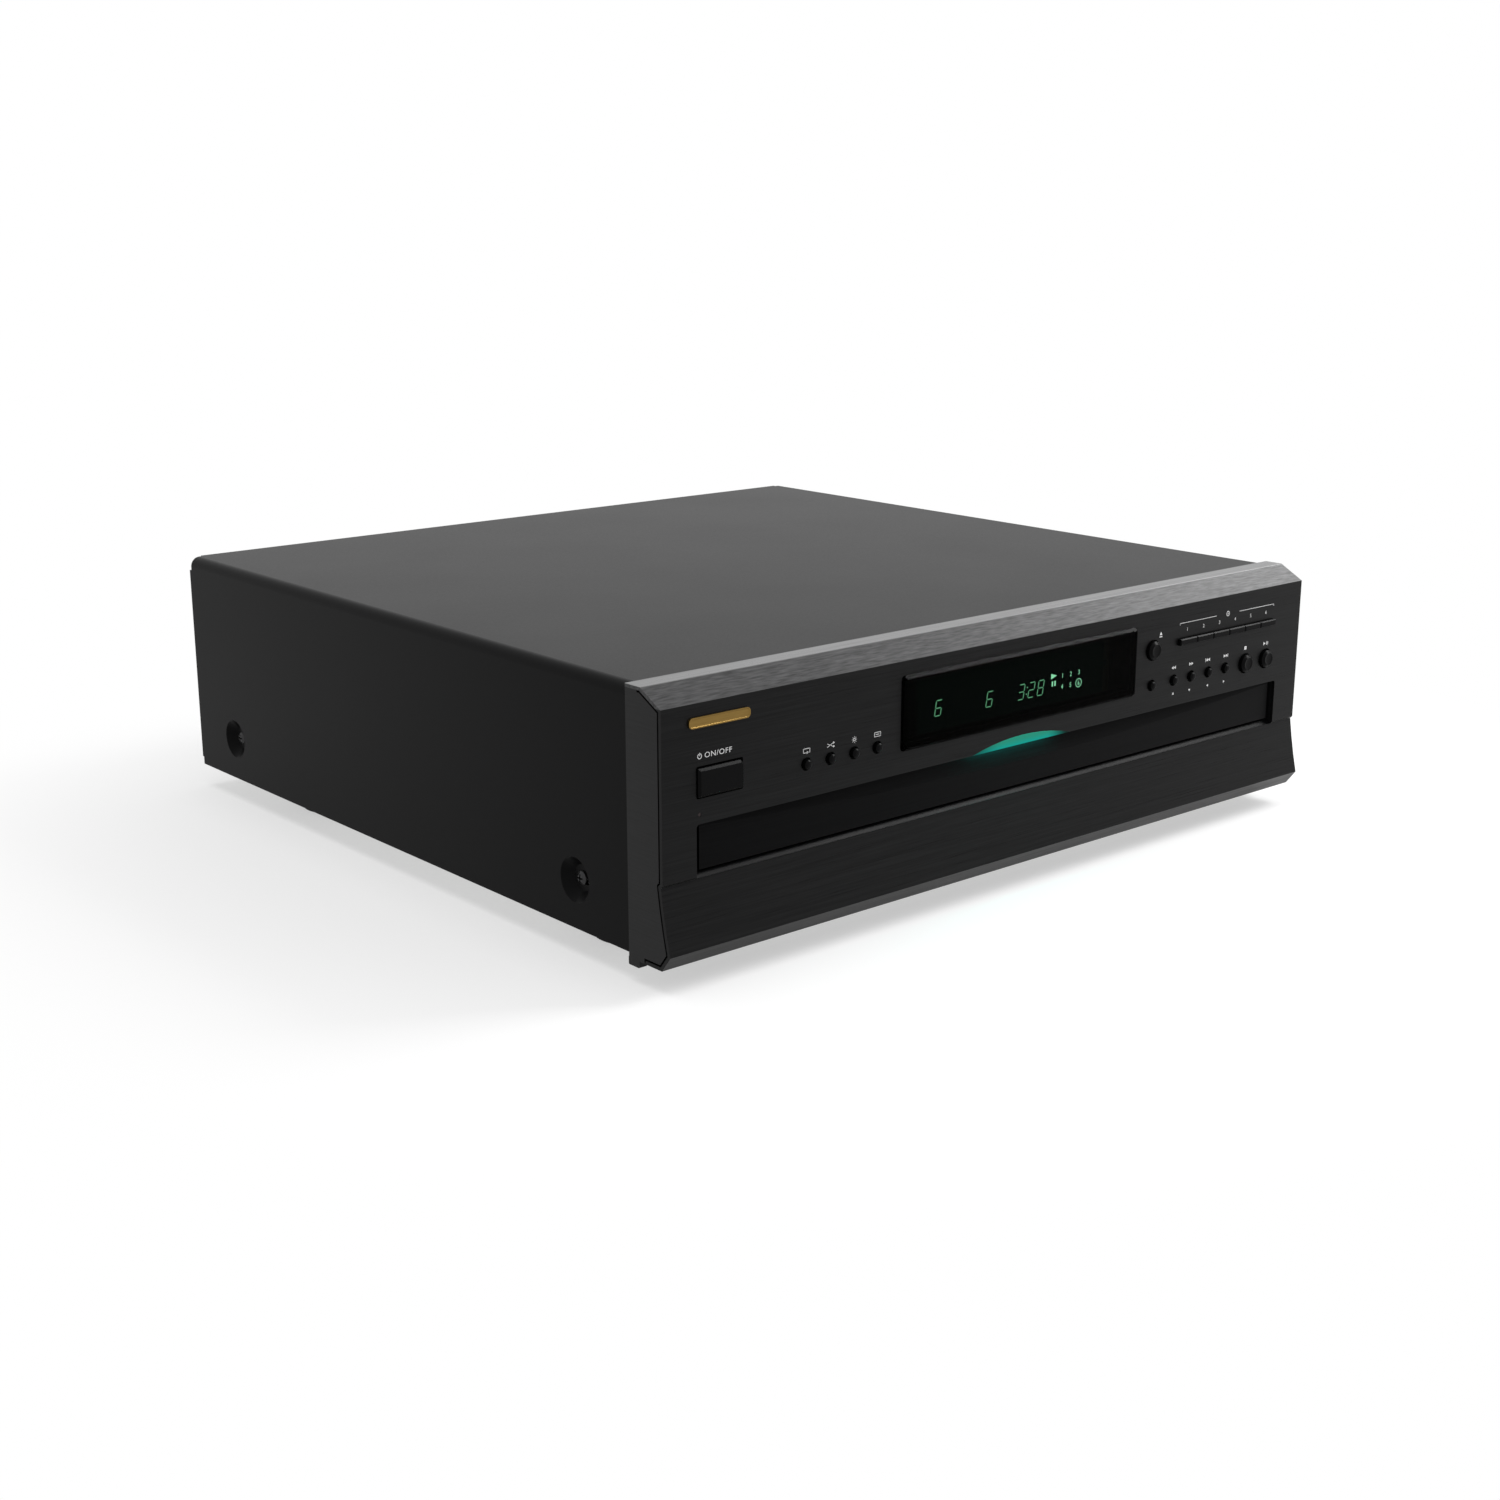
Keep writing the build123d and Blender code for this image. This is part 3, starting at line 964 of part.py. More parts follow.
def lowered(shape, angle=TRAVERSE_DROP):
    """The shape turned down about the traverse's pivot."""
    pivot = Pos(0, PIVOT_Y, PIVOT_Z)
    return pivot * Rot(angle, 0, 0) * pivot.inverse() * shape


def traverse_frame():
    """Moulded frame with skirt, sled opening, pivot arms, trunnions and the lift pin."""
    x, y0, y1 = TRAVERSE_X, TRAVERSE_Y0, TRAVERSE_Y1
    low, top = TRAVERSE_LOW_Z, TRAVERSE_TOP_Z
    frame = block(-x, x, y0, y1, low, top)
    inner_x, inner_y0, inner_y1 = x - TRAVERSE_T, y0 + TRAVERSE_T, y1 - TRAVERSE_T
    frame -= block(-inner_x, inner_x, inner_y0, inner_y1, low - 1, top - TRAVERSE_T)
    frame -= block(-SLED_GAP_X, SLED_GAP_X, SLED_GAP_Y0, SLED_GAP_Y1, low - 1, top + 1)
    for wall_y in (SLED_GAP_Y0 - 2, SLED_GAP_Y1):
        frame += block(-x + TRAVERSE_T, x - TRAVERSE_T, wall_y, wall_y + 2, low, top - TRAVERSE_T)
    frame = fillet(frame.edges().filter_by(Axis.Z).group_by(Axis.Y)[0], 3.0)
    frame -= disc_z(SPINDLE_MOTOR_R - 4, 0, PLAY_Y, low - 1, top + 1)
    arm_top, arm_r = PIVOT_Z + 5, 5.0
    for side in (-1, 1):
        xs = sorted((side * ARM_X, side * x))
        frame += block(*xs, y1 - 1, PIVOT_Y, low, arm_top)
        frame += disc_x(arm_r, PIVOT_Y, PIVOT_Z, *xs)
        pin = sorted((side * x, side * TRUNNION_X))
        frame += disc_x(TRUNNION_R, PIVOT_Y, PIVOT_Z, *pin)
    frame += disc_y(PIN_R, 0, PIVOT_Z, SLIDER_Y0 - 1.2, y0 + 1)
    frame += disc_y(PIN_R + 1.5, 0, PIVOT_Z, y0 - 1, y0 + 1)
    return lowered(frame)


def spindle_motor():
    """Flat motor under the traverse that turns the disc."""
    top = TRAVERSE_TOP_Z - TRAVERSE_T
    motor = disc_z(SPINDLE_MOTOR_R, 0, PLAY_Y, top - SPINDLE_MOTOR_H, top)
    motor = chamfer(motor.edges().group_by(Axis.Z)[0], 1.2)
    return lowered(motor + disc_z(SPINDLE_SHAFT_R, 0, PLAY_Y, top, TABLE_TOP_Z))


def disc_turntable():
    """Turntable that lifts the disc, with its centring nose."""
    base = TRAVERSE_TOP_Z + 0.5
    edge = Polyline(
        (SPINDLE_SHAFT_R + RUN, base), (5, base),
        (5, TABLE_TOP_Z - TABLE_T), (TABLE_R, TABLE_TOP_Z - TABLE_T),
        (TABLE_R, TABLE_TOP_Z), (NOSE_R, TABLE_TOP_Z), (NOSE_R - 0.6, TABLE_TOP_Z + 1.2),
        (NOSE_R - 3, TABLE_TOP_Z + NOSE_H), (SPINDLE_SHAFT_R + RUN, TABLE_TOP_Z + NOSE_H), close=True,
    )
    return lowered(Pos(0, PLAY_Y, 0) * revolve(Plane.XZ * make_face(edge), Axis.Z))


def pickup_sled():
    """Optical pickup: sled on two rods, turret and lens."""
    y0, y1 = SLED_Y0 - SLED_HALF_Y, SLED_Y0 + SLED_HALF_Y
    sled = block(-SLED_HALF_X, SLED_HALF_X, y0, y1, TRAVERSE_LOW_Z + 0.5, TRAVERSE_TOP_Z - TRAVERSE_T)
    sled = fillet(sled.edges().filter_by(Axis.Z), 2.0)
    turret_z0 = TRAVERSE_TOP_Z - TRAVERSE_T - 1
    sled += block(-TURRET_X, TURRET_X, SLED_Y0 - TURRET_Y, SLED_Y0 + TURRET_Y, turret_z0, TURRET_Z)
    sled += disc_z(LENS_R, 0, SLED_Y0, TURRET_Z, LENS_Z)
    for side in (-1, 1):
        sled -= disc_y(ROD_R + RUN, side * ROD_X, ROD_Z, y0 - 1, y1 + 1)
    return lowered(sled)


def sled_rods():
    """The two guide rods of the sled."""
    rods = [lowered(disc_y(ROD_R, x, ROD_Z, SLED_GAP_Y0, SLED_GAP_Y1)) for x in (-ROD_X, ROD_X)]
    return Compound(children=[Solid(rod.solid().wrapped) for rod in rods])


def pin_height(fraction):
    """Height of the lift pin where it crosses the slider. fraction is 0 lowered and 1 raised."""
    reach = PIVOT_Y - (SLIDER_Y0 + SLIDER_T / 2)
    return PIVOT_Z - reach * tan(radians(TRAVERSE_DROP * (1 - fraction)))


def lift_slider():
    """Sliding plate with the sloping slot that carries the lift pin, and the rack that moves it."""
    plate = block(SLIDER_X0, SLIDER_X1, SLIDER_Y0, SLIDER_Y1, SLIDER_Z0, SLIDER_Z1)
    half = PIN_R + SLOT_SLACK
    low, high = (0.0, pin_height(0)), (-SLIDER_RUN, pin_height(1))
    length = hypot(high[0] - low[0], high[1] - low[1]) + 2 * half
    slope = degrees(atan2(high[1] - low[1], high[0] - low[0]))
    middle = Pos((low[0] + high[0]) / 2, (low[1] + high[1]) / 2)
    plate -= prism_y(middle * SlotOverall(length, 2 * half, rotation=slope), SLIDER_Y0 - 1, SLIDER_Y1 + 1)
    pitch = pi * LIFT_MODULE
    first_x = LIFT_GEAR_X - pitch * int((LIFT_GEAR_X - SLIDER_X0) / pitch - 1)
    teeth = rack_face(SLIDER_X1 - first_x - pitch, LIFT_MODULE, LIFT_RACK_D)
    rack = Pos(first_x, LIFT_PITCH_Y) * Rot(0, 0, -90) * teeth
    return plate + prism_z(rack, LIFT_RACK_Z0, LIFT_RACK_Z1)


def lift_gear():
    """Gear on the lift motor's shaft that drives the slider."""
    turn = pi / 2 - pi / LIFT_TEETH
    gear = prism_z(gear_face(LIFT_TEETH, LIFT_MODULE, 3, turn), LIFT_RACK_Z0, LIFT_RACK_Z1)
    gear += disc_z(4, 0, 0, GEAR_MOTOR_Z1 + SLIDE, LIFT_RACK_Z0)
    gear -= disc_z(GEAR_SHAFT_R + RUN, 0, 0, GEAR_MOTOR_Z1, LIFT_RACK_Z1 + 1)
    return Pos(LIFT_GEAR_X, LIFT_GEAR_Y, 0) * gear


def traverse_cradle():
    """Moulded base with the pivot towers and the wall that guides the slider."""
    base_y = SLIDER_Y1 + SLIDE
    wall_y = base_y + CRADLE_T
    outer = CRADLE_X + CRADLE_WALL
    base = block(-outer, outer, base_y, CRADLE_Y1, FLOOR_Z, FLOOR_Z + CRADLE_T)
    base -= block(-TRAVERSE_X, TRAVERSE_X, wall_y + 8, CRADLE_Y1 - 22, FLOOR_Z - 1, FLOOR_Z + 3)
    wall = block(SLIDER_X0 - 4, SLIDER_X1 + SLIDER_RUN + 4, base_y, wall_y, FLOOR_Z, SLIDER_Z1)
    wall -= block(-3.5, 3.5, base_y - 1, wall_y + 1, pin_height(0) - 4, SLIDER_Z1 + 1)
    cradle = base + wall
    shelf_x0, shelf_x1 = SLIDER_X0 - 4, SLIDER_X1 + SLIDER_RUN + 4
    cradle += block(shelf_x0, shelf_x1, SLIDER_Y0 - 2, base_y, FLOOR_Z, SLIDER_Z0 - SLIDE)
    tower_y = PIVOT_Y - 8
    inner = TRAVERSE_X + 1.5
    for side in (-1, 1):
        xs = sorted((side * inner, side * outer))
        tower = block(*xs, tower_y, CRADLE_Y1, FLOOR_Z, PIVOT_Z)
        tower += disc_x(7, PIVOT_Y, PIVOT_Z, *xs) & block(*xs, tower_y, CRADLE_Y1, FLOOR_Z, PIVOT_Z + 5)
        cradle += tower
    cradle -= disc_x(TRUNNION_R + RUN, PIVOT_Y, PIVOT_Z, -TRUNNION_X - SLIDE, TRUNNION_X + SLIDE)
    return cradle


def clamp_bridge():
    """Folded steel bridge over the playing disc, standing on the rails."""
    y0, y1 = PLAY_Y - BRIDGE_D / 2, PLAY_Y + BRIDGE_D / 2
    reach = RAIL_X1 - 1
    bridge = block(-reach, reach, y0, y1, BRIDGE_Z, BRIDGE_Z + BRIDGE_T)
    for y in (y0, y1 - BRIDGE_T):
        bridge += block(-reach, reach, y, y + BRIDGE_T, BRIDGE_Z, BRIDGE_Z + BRIDGE_RIB)
    bridge += both_sides(reach - BRIDGE_T, reach, y0, y1, RAIL_TOP_Z, BRIDGE_Z)
    bridge += both_sides(RAIL_X0 + 1.5, reach, y0, y1, RAIL_TOP_Z, RAIL_TOP_Z + BRIDGE_T)
    return bridge - disc_z(BRIDGE_HOLE_R, 0, PLAY_Y, BRIDGE_Z - 1, BRIDGE_Z + 5)


def clamp_puck():
    """Free-turning puck that clamps the disc from above."""
    crown_z = BRIDGE_Z + BRIDGE_T + SLIDE
    edge = Polyline(
        (0, PUCK_Z + 2.2), (NOSE_R + 0.8, PUCK_Z + 2.2), (NOSE_R + 0.8, PUCK_Z),
        (PUCK_R, PUCK_Z), (PUCK_R, PUCK_Z + 1.6), (PUCK_NECK_R, PUCK_Z + 1.6),
        (PUCK_NECK_R, crown_z), (PUCK_CROWN_R, crown_z), (PUCK_CROWN_R - 1, crown_z + 2),
        (0, crown_z + 2.4), close=True,
    )
    return Pos(0, PLAY_Y, 0) * revolve(Plane.XZ * make_face(edge), Axis.Z)


# Electronics

def main_board():
    """Signal board on standoffs with a few parts that show from above."""
    z0 = FLOOR_Z + STANDOFF
    z1 = z0 + BOARD_T
    rear = REAR_Y - SHEET - 2
    board = block(MAIN_X0, MAIN_X1, rear - MAIN_D, rear, z0, z1)
    for x in (MAIN_X0 + STANDOFF_IN, MAIN_X1 - STANDOFF_IN):
        for y in (rear - MAIN_D + STANDOFF_IN, rear - STANDOFF_BACK):
            board += disc_z(STANDOFF_R, x, y, FLOOR_Z, z0)
    for in_x, in_y, width, depth in CHIPS:
        x1, y0 = MAIN_X1 - in_x + width, rear - in_y - depth
        board += block(x1 - width, x1, y0, y0 + depth, z1, z1 + CHIP_H)
    for in_x in CAPACITORS_X:
        for in_y in CAPACITORS_Y:
            board += disc_z(CAPACITOR_R, MAIN_X1 - in_x, rear - in_y, z1, z1 + CAPACITOR_H)
    return board


def rear_jacks():
    """Analogue pair, coaxial and optical outputs and two control sockets, in their moulded blocks."""
    inner_y = REAR_Y - SHEET - JACK_BLOCK_D
    z0, z1 = FLOOR_Z + STANDOFF + BOARD_T, JACK_Z + JACK_BLOCK_UP
    y0, y1 = REAR_Y - SHEET, REAR_Y + SOCKET_OUT
    half_w = OPTICAL_W / 2
    half = JACK_PITCH / 2 - 0.5
    pieces = []
    for k in range(6):
        x = JACK_X - JACK_PITCH * k
        jack = block(x - half, x + half, inner_y, REAR_Y - SHEET, z0, z1)
        if k < 3:
            jack += disc_y(RCA_R, x, JACK_Z, REAR_Y - SHEET, REAR_REACH)
            jack += disc_y(RCA_COLLAR_R, x, JACK_Z, REAR_Y, REAR_Y + 1.2)
            jack -= disc_y(RCA_BORE, x, JACK_Z, REAR_Y, REAR_REACH + 1)
            jack -= disc_y(RCA_FACE_R, x, JACK_Z, REAR_REACH - RCA_FACE_DEEP, REAR_REACH + 1)
        elif k == 3:
            jack += block(x - half_w, x + half_w, y0, y1, JACK_Z - half_w, JACK_Z + half_w)
        else:
            jack += disc_y(CONTROL_R, x, JACK_Z, y0, y1)
            jack -= disc_y(CONTROL_BORE, x, JACK_Z, REAR_Y - 10, REAR_Y + 3)
        pieces.append(Solid(jack.solid().wrapped))
    return Compound(children=pieces)


def transformer():
    """Mains transformer: laminated core, winding and mounting feet."""
    x, y, z = TRANSFORMER_X, TRANSFORMER_Y, FLOOR_Z
    half_x, half_y = CORE_X / 2, CORE_Y / 2
    core = block(x - half_x, x + half_x, y - half_y * 0.5, y + half_y * 0.5, z + 1.5, z + CORE_Z)
    winding = block(x - half_x * 0.55, x + half_x * 0.55, y - half_y, y + half_y, z + 5, z + CORE_Z - 4)
    winding = fillet(winding.edges().filter_by(Axis.Z), 4.0)
    plate = block(x - half_x - 8, x + half_x + 8, y - half_y * 0.5, y + half_y * 0.5, z, z + 1.5)
    for side in (-1, 1):
        plate -= disc_z(2.2, x + side * (half_x + 4), y, z - 1, z + 3)
    return core + winding + plate


def cord_gland():
    """Strain relief bushing for the mains cord, empty."""
    gland = disc_y(GLAND_R, GLAND_X, GLAND_Z, REAR_Y, REAR_Y + 2.5)
    gland += disc_y(GLAND_R - GLAND_STEP, GLAND_X, GLAND_Z, REAR_Y - GLAND_DEEP, REAR_Y)
    edge = [(GLAND_R - 1.5, 0), (GLAND_R - 3, 6)]
    cone = revolve(Plane.XZ * make_face(Polyline((0, 0), edge[0], edge[1], (0, 6), close=True)), Axis.Z)
    gland += Pos(GLAND_X, REAR_Y + 2.5, GLAND_Z) * Rot(-90, 0, 0) * cone
    return gland - disc_y(GLAND_BORE_R, GLAND_X, GLAND_Z, REAR_Y - GLAND_DEEP - 1, REAR_REACH + 1)


PIECES = {
    "top_cover": top_cover,
    "cover_screws": cover_screws,
    "bottom_chassis": bottom_chassis,
    "rear_panel": rear_panel,
    "feet": feet,
    "front_panel": front_panel,
    "panel_frame": panel_frame,
    "end_cap_left": lambda: end_cap(-1),
    "end_cap_right": lambda: end_cap(1),
    "drawer_sill": drawer_sill,
    "display_window": display_window,
    "display_tube": display_tube,
    "light_lens": light_lens,
    "standby_lamp": standby_lamp,
    "key_board": key_board,
    "drawer_front": drawer_front,
    "drawer_tray": drawer_tray,
    "carousel": carousel,
    "carousel_cap": carousel_cap,
    "carousel_drive_gear": carousel_drive_gear,
    "carousel_pulley": carousel_pulley,
    "carousel_motor": carousel_motor,
    "carousel_belt": carousel_belt,
    "rail_left": lambda: rail(-1),
    "rail_right": lambda: rail(1),
    "drawer_pinion": drawer_pinion,
    "gear_motors": gear_motors,
    "traverse_frame": traverse_frame,
    "spindle_motor": spindle_motor,
    "disc_turntable": disc_turntable,
    "pickup_sled": pickup_sled,
    "sled_rods": sled_rods,
    "lift_slider": lift_slider,
    "lift_gear": lift_gear,
    "traverse_cradle": traverse_cradle,
    "clamp_bridge": clamp_bridge,
    "clamp_puck": clamp_puck,
    "main_board": main_board,
    "rear_jacks": rear_jacks,
    "transformer": transformer,
    "cord_gland": cord_gland,
    "power": power_button,
}


def write(name, shape):
    """Shift a piece into the part's own frame and write it."""
    middle_y = (REAR_REACH - SKIRT_OUT) / 2
    export_step(Pos(0, -middle_y, 0) * shape, f"parts/{name}.step")


def main():
    """Build and write every piece."""
    os.makedirs("parts", exist_ok=True)
    for name, make in PIECES.items():
        write(name, make())
    for name, (x, z, cap_r, _, proud) in ROUND_BUTTONS.items():
        write(name, round_button(x, z, cap_r, proud))
    for index in range(KEY_COUNT):
        write(f"disc_key_{index + 1}", disc_key(index))


if __name__ == "__main__":
    main()
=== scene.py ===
import logging
from dataclasses import dataclass, field
from enum import Enum
from math import atan2, cos, pi, radians, sin
from typing import Callable, Iterable, Optional

import bpy
from mathutils import Matrix, Vector


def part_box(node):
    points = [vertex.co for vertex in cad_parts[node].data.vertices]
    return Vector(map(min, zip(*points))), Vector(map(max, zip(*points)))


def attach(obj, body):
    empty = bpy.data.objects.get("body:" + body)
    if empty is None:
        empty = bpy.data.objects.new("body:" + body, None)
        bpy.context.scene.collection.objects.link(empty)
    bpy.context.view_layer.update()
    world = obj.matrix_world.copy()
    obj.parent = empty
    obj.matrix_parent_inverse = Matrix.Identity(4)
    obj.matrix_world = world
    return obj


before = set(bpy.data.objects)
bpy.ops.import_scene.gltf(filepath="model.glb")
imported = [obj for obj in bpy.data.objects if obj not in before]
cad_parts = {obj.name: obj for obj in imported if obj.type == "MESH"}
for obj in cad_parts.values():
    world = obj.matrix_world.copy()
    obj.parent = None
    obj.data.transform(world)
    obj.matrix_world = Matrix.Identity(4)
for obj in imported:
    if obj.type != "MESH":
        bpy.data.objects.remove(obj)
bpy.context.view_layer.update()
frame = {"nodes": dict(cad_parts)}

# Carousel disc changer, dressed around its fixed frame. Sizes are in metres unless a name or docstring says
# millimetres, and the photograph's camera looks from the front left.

LOG = logging.getLogger("changer")
MM = 0.001
Pair = tuple[float, float]
Triple = tuple[float, float, float]
Colour = Triple
Piece = bpy.types.Object
Material = bpy.types.Material
Tree = bpy.types.NodeTree
Node = bpy.types.Node
Socket = bpy.types.NodeSocket
NODES = frame["nodes"]
INK_RISE = 0.03 * MM    # printed marks above their surface
INK_DEPTH = 0.12 * MM   # and below it
CAPITAL_SHARE = 0.7     # height of a capital in the default font, as a share of the font's size


# Shader groups shared by the finishes

class Grain(Enum):
    """Surface structure of a finish: its name, and how far its mask is pushed to light and dark."""

    BRUSHED = ("brushed", 2.6)
    POWDER = ("powder", 1.6)
    MOULDED = ("moulded", 1.6)

    @property
    def contrast(self) -> float:
        """Contrast of the mask."""
        return self.value[1]


def new_group(name: str, inputs: dict[str, tuple[str, object]], outputs: dict[str, str]) -> Tree:
    """Start a shader node group.

    Args:
        name: The group's name.
        inputs: Socket name to socket type and default value, or None for no default.
        outputs: Socket name to socket type.

    Returns:
        The empty group with its interface and its input and output nodes.
    """
    group = bpy.data.node_groups.new(name, "ShaderNodeTree")
    for label, (kind, value) in inputs.items():
        socket = group.interface.new_socket(name=label, in_out="INPUT", socket_type=kind)
        if value is not None:
            socket.default_value = value
    for label, kind in outputs.items():
        group.interface.new_socket(name=label, in_out="OUTPUT", socket_type=kind)
    group.nodes.new("NodeGroupInput").name = "in"
    group.nodes.new("NodeGroupOutput").name = "out"
    return group


def noise(tree: Tree, vector: Socket, scale: float, detail: float = 2.0, roughness: float = 0.5) -> Node:
    """Add a noise texture read at `vector`.

    Args:
        tree: Tree to add to.
        vector: Socket with the coordinates.
        scale: Repeats per unit of the coordinates.
        detail: Octaves.
        roughness: Weight of the fine octaves.

    Returns:
        The texture node.
    """
    texture = tree.nodes.new("ShaderNodeTexNoise")
    texture.inputs["Scale"].default_value = scale
    texture.inputs["Detail"].default_value = detail
    texture.inputs["Roughness"].default_value = roughness
    tree.links.new(vector, texture.inputs["Vector"])
    return texture


def math_node(tree: Tree, operation: str, first: object, second: object) -> Socket:
    """Combine two values or sockets.

    Args:
        tree: Tree to add to.
        operation: Name of the math operation.
        first: Number or socket.
        second: Number or socket.

    Returns:
        The result socket.
    """
    node = tree.nodes.new("ShaderNodeMath")
    node.operation = operation
    for index, value in enumerate((first, second)):
        if isinstance(value, (int, float)):
            node.inputs[index].default_value = value
        else:
            tree.links.new(value, node.inputs[index])
    return node.outputs[0]


def ramp(tree: Tree, value: Socket, start: Pair, end: Pair, smooth: bool = False) -> Socket:
    """Map a value from one range to another.

    Args:
        tree: Tree to add to.
        value: Socket to map.
        start: Value at the start, and what it maps to.
        end: Value at the end, and what it maps to.
        smooth: Ease in and out.

    Returns:
        The mapped socket.
    """
    node = tree.nodes.new("ShaderNodeMapRange")
    if smooth:
        node.interpolation_type = "SMOOTHSTEP"
    node.inputs["From Min"].default_value, node.inputs["To Min"].default_value = start
    node.inputs["From Max"].default_value, node.inputs["To Max"].default_value = end
    tree.links.new(value, node.inputs["Value"])
    return node.outputs["Result"]


def mix_colour(tree: Tree, factor: Socket, first: object, second: object) -> Socket:
    """Mix two colours or colour sockets.

    Args:
        tree: Tree to add to.
        factor: Socket from 0 to 1.
        first: Colour or socket at 0.
        second: Colour or socket at 1.

    Returns:
        The mixed socket.
    """
    node = tree.nodes.new("ShaderNodeMix")
    node.data_type = "RGBA"
    tree.links.new(factor, node.inputs["Factor"])
    for label, value in (("A", first), ("B", second)):
        if isinstance(value, Socket):
            tree.links.new(value, node.inputs[label])
        else:
            node.inputs[label].default_value = (*[min(1.0, c) for c in value], 1)
    return node.outputs["Result"]


def grain_group() -> Tree:
    """Group for grain of any shape: the vector comes scaled, so that one unit is one grain.

    Returns:
        Group with the outputs Mask and Height.
    """
    inputs = {"Vector": ("NodeSocketVector", None), "Contrast": ("NodeSocketFloat", 1.6)}
    group = new_group("grain", inputs, {"Mask": "NodeSocketFloat", "Height": "NodeSocketFloat"})
    nodes, links = group.nodes, group.links
    fine = noise(group, nodes["in"].outputs["Vector"], 1.0, 3.0, 0.62)
    broad = noise(group, nodes["in"].outputs["Vector"], 0.31, 2.0)
    total = math_node(group, "ADD", fine.outputs["Fac"], broad.outputs["Fac"])
    centred = math_node(group, "SUBTRACT", math_node(group, "MULTIPLY", total, 0.5), 0.5)
    pushed = math_node(group, "MULTIPLY", centred, nodes["in"].outputs["Contrast"])
    clamp = group.nodes.new("ShaderNodeClamp")
    links.new(math_node(group, "ADD", pushed, 0.5), clamp.inputs["Value"])
    links.new(clamp.outputs[0], nodes["out"].inputs["Mask"])
    links.new(fine.outputs["Fac"], nodes["out"].inputs["Height"])
    return group


def handling_group() -> Tree:
    """Group for the faint unevenness that handling and dust leave on any finish.

    Returns:
        Group with the output Mask, from 0 to 1.
    """
    inputs = {"Vector": ("NodeSocketVector", None), "Patch": ("NodeSocketFloat", 14.0)}
    group = new_group("handling", inputs, {"Mask": "NodeSocketFloat"})
    nodes, links = group.nodes, group.links
    cloud = noise(group, nodes["in"].outputs["Vector"], 1.0, 4.0)
    links.new(nodes["in"].outputs["Patch"], cloud.inputs["Scale"])
    links.new(ramp(group, cloud.outputs["Fac"], (0.35, 0.0), (0.68, 1.0)), nodes["out"].inputs["Mask"])
    return group


def streak_group() -> Tree:
    """Group for the short mottled strokes of a coarse brush: the vector comes scaled to one stroke.

    Returns:
        Group with the output Mask, from 0 to 1.
    """
    group = new_group("streaks", {"Vector": ("NodeSocketVector", None)}, {"Mask": "NodeSocketFloat"})
    nodes, links = group.nodes, group.links
    place = nodes["in"].outputs["Vector"]
    stroke = noise(group, place, 1.0, 2.0, 0.55)
    cell = group.nodes.new("ShaderNodeTexVoronoi")
    cell.feature = "SMOOTH_F1"
    cell.inputs["Scale"].default_value = 0.9
    links.new(place, cell.inputs["Vector"])
    cells = ramp(group, cell.outputs["Distance"], (0.1, 0.0), (0.85, 1.0))
    both = math_node(group, "ADD", math_node(group, "MULTIPLY", cells, 0.35), stroke.outputs["Fac"])
    links.new(ramp(group, both, (0.38, 0.0), (0.95, 1.0)), nodes["out"].inputs["Mask"])
    return group


GRAIN = grain_group()
HANDLING = handling_group()
STREAKS = streak_group()


# Finishes

def even(size: float) -> Triple:
    """Return the same size along X, Y and Z."""
    return (size, size, size)


def spread(colour: Colour, share: float) -> tuple[list[float], list[float]]:
    """Return a darker and a lighter version of a colour, each `share` away from it."""
    return [c * (1 - share) for c in colour], [c * (1 + share) for c in colour]


def start_material(name: str) -> tuple[Material, Tree, Node]:
    """Start a material.

    Args:
        name: Its name.

    Returns:
        The material, its tree and its shader.
    """
    material = bpy.data.materials.new(name)
    material.use_nodes = True
    tree = material.node_tree
    return material, tree, tree.nodes["Principled BSDF"]


def scaled_place(tree: Tree, size_mm: Triple) -> Socket:
    """Object coordinates in units of a given size.

    Args:
        tree: Tree to add to.
        size_mm: Size of one unit along X, Y and Z.

    Returns:
        The vector socket.
    """
    place = tree.nodes.new("ShaderNodeTexCoord")
    mapping = tree.nodes.new("ShaderNodeMapping")
    mapping.inputs["Scale"].default_value = [1.0 / (size * MM) for size in size_mm]
    tree.links.new(place.outputs["Object"], mapping.inputs["Vector"])
    return mapping.outputs["Vector"]


def place_mm(tree: Tree, axis: str) -> Socket:
    """Object coordinate along one axis, in millimetres.

    Args:
        tree: Tree to add to.
        axis: X, Y or Z.

    Returns:
        The value socket.
    """
    split = tree.nodes.new("ShaderNodeSeparateXYZ")
    tree.links.new(scaled_place(tree, even(1.0)), split.inputs["Vector"])
    return split.outputs[axis]


def use_group(tree: Tree, group: Tree, size_mm: Triple) -> Node:
    """Place a shared group in a material.

    Args:
        tree: The material's tree.
        group: The group.
        size_mm: Size of one unit of its pattern along X, Y and Z.

    Returns:
        The group's node.
    """
    node = tree.nodes.new("ShaderNodeGroup")
    node.node_tree = group
    tree.links.new(scaled_place(tree, size_mm), node.inputs["Vector"])
    return node


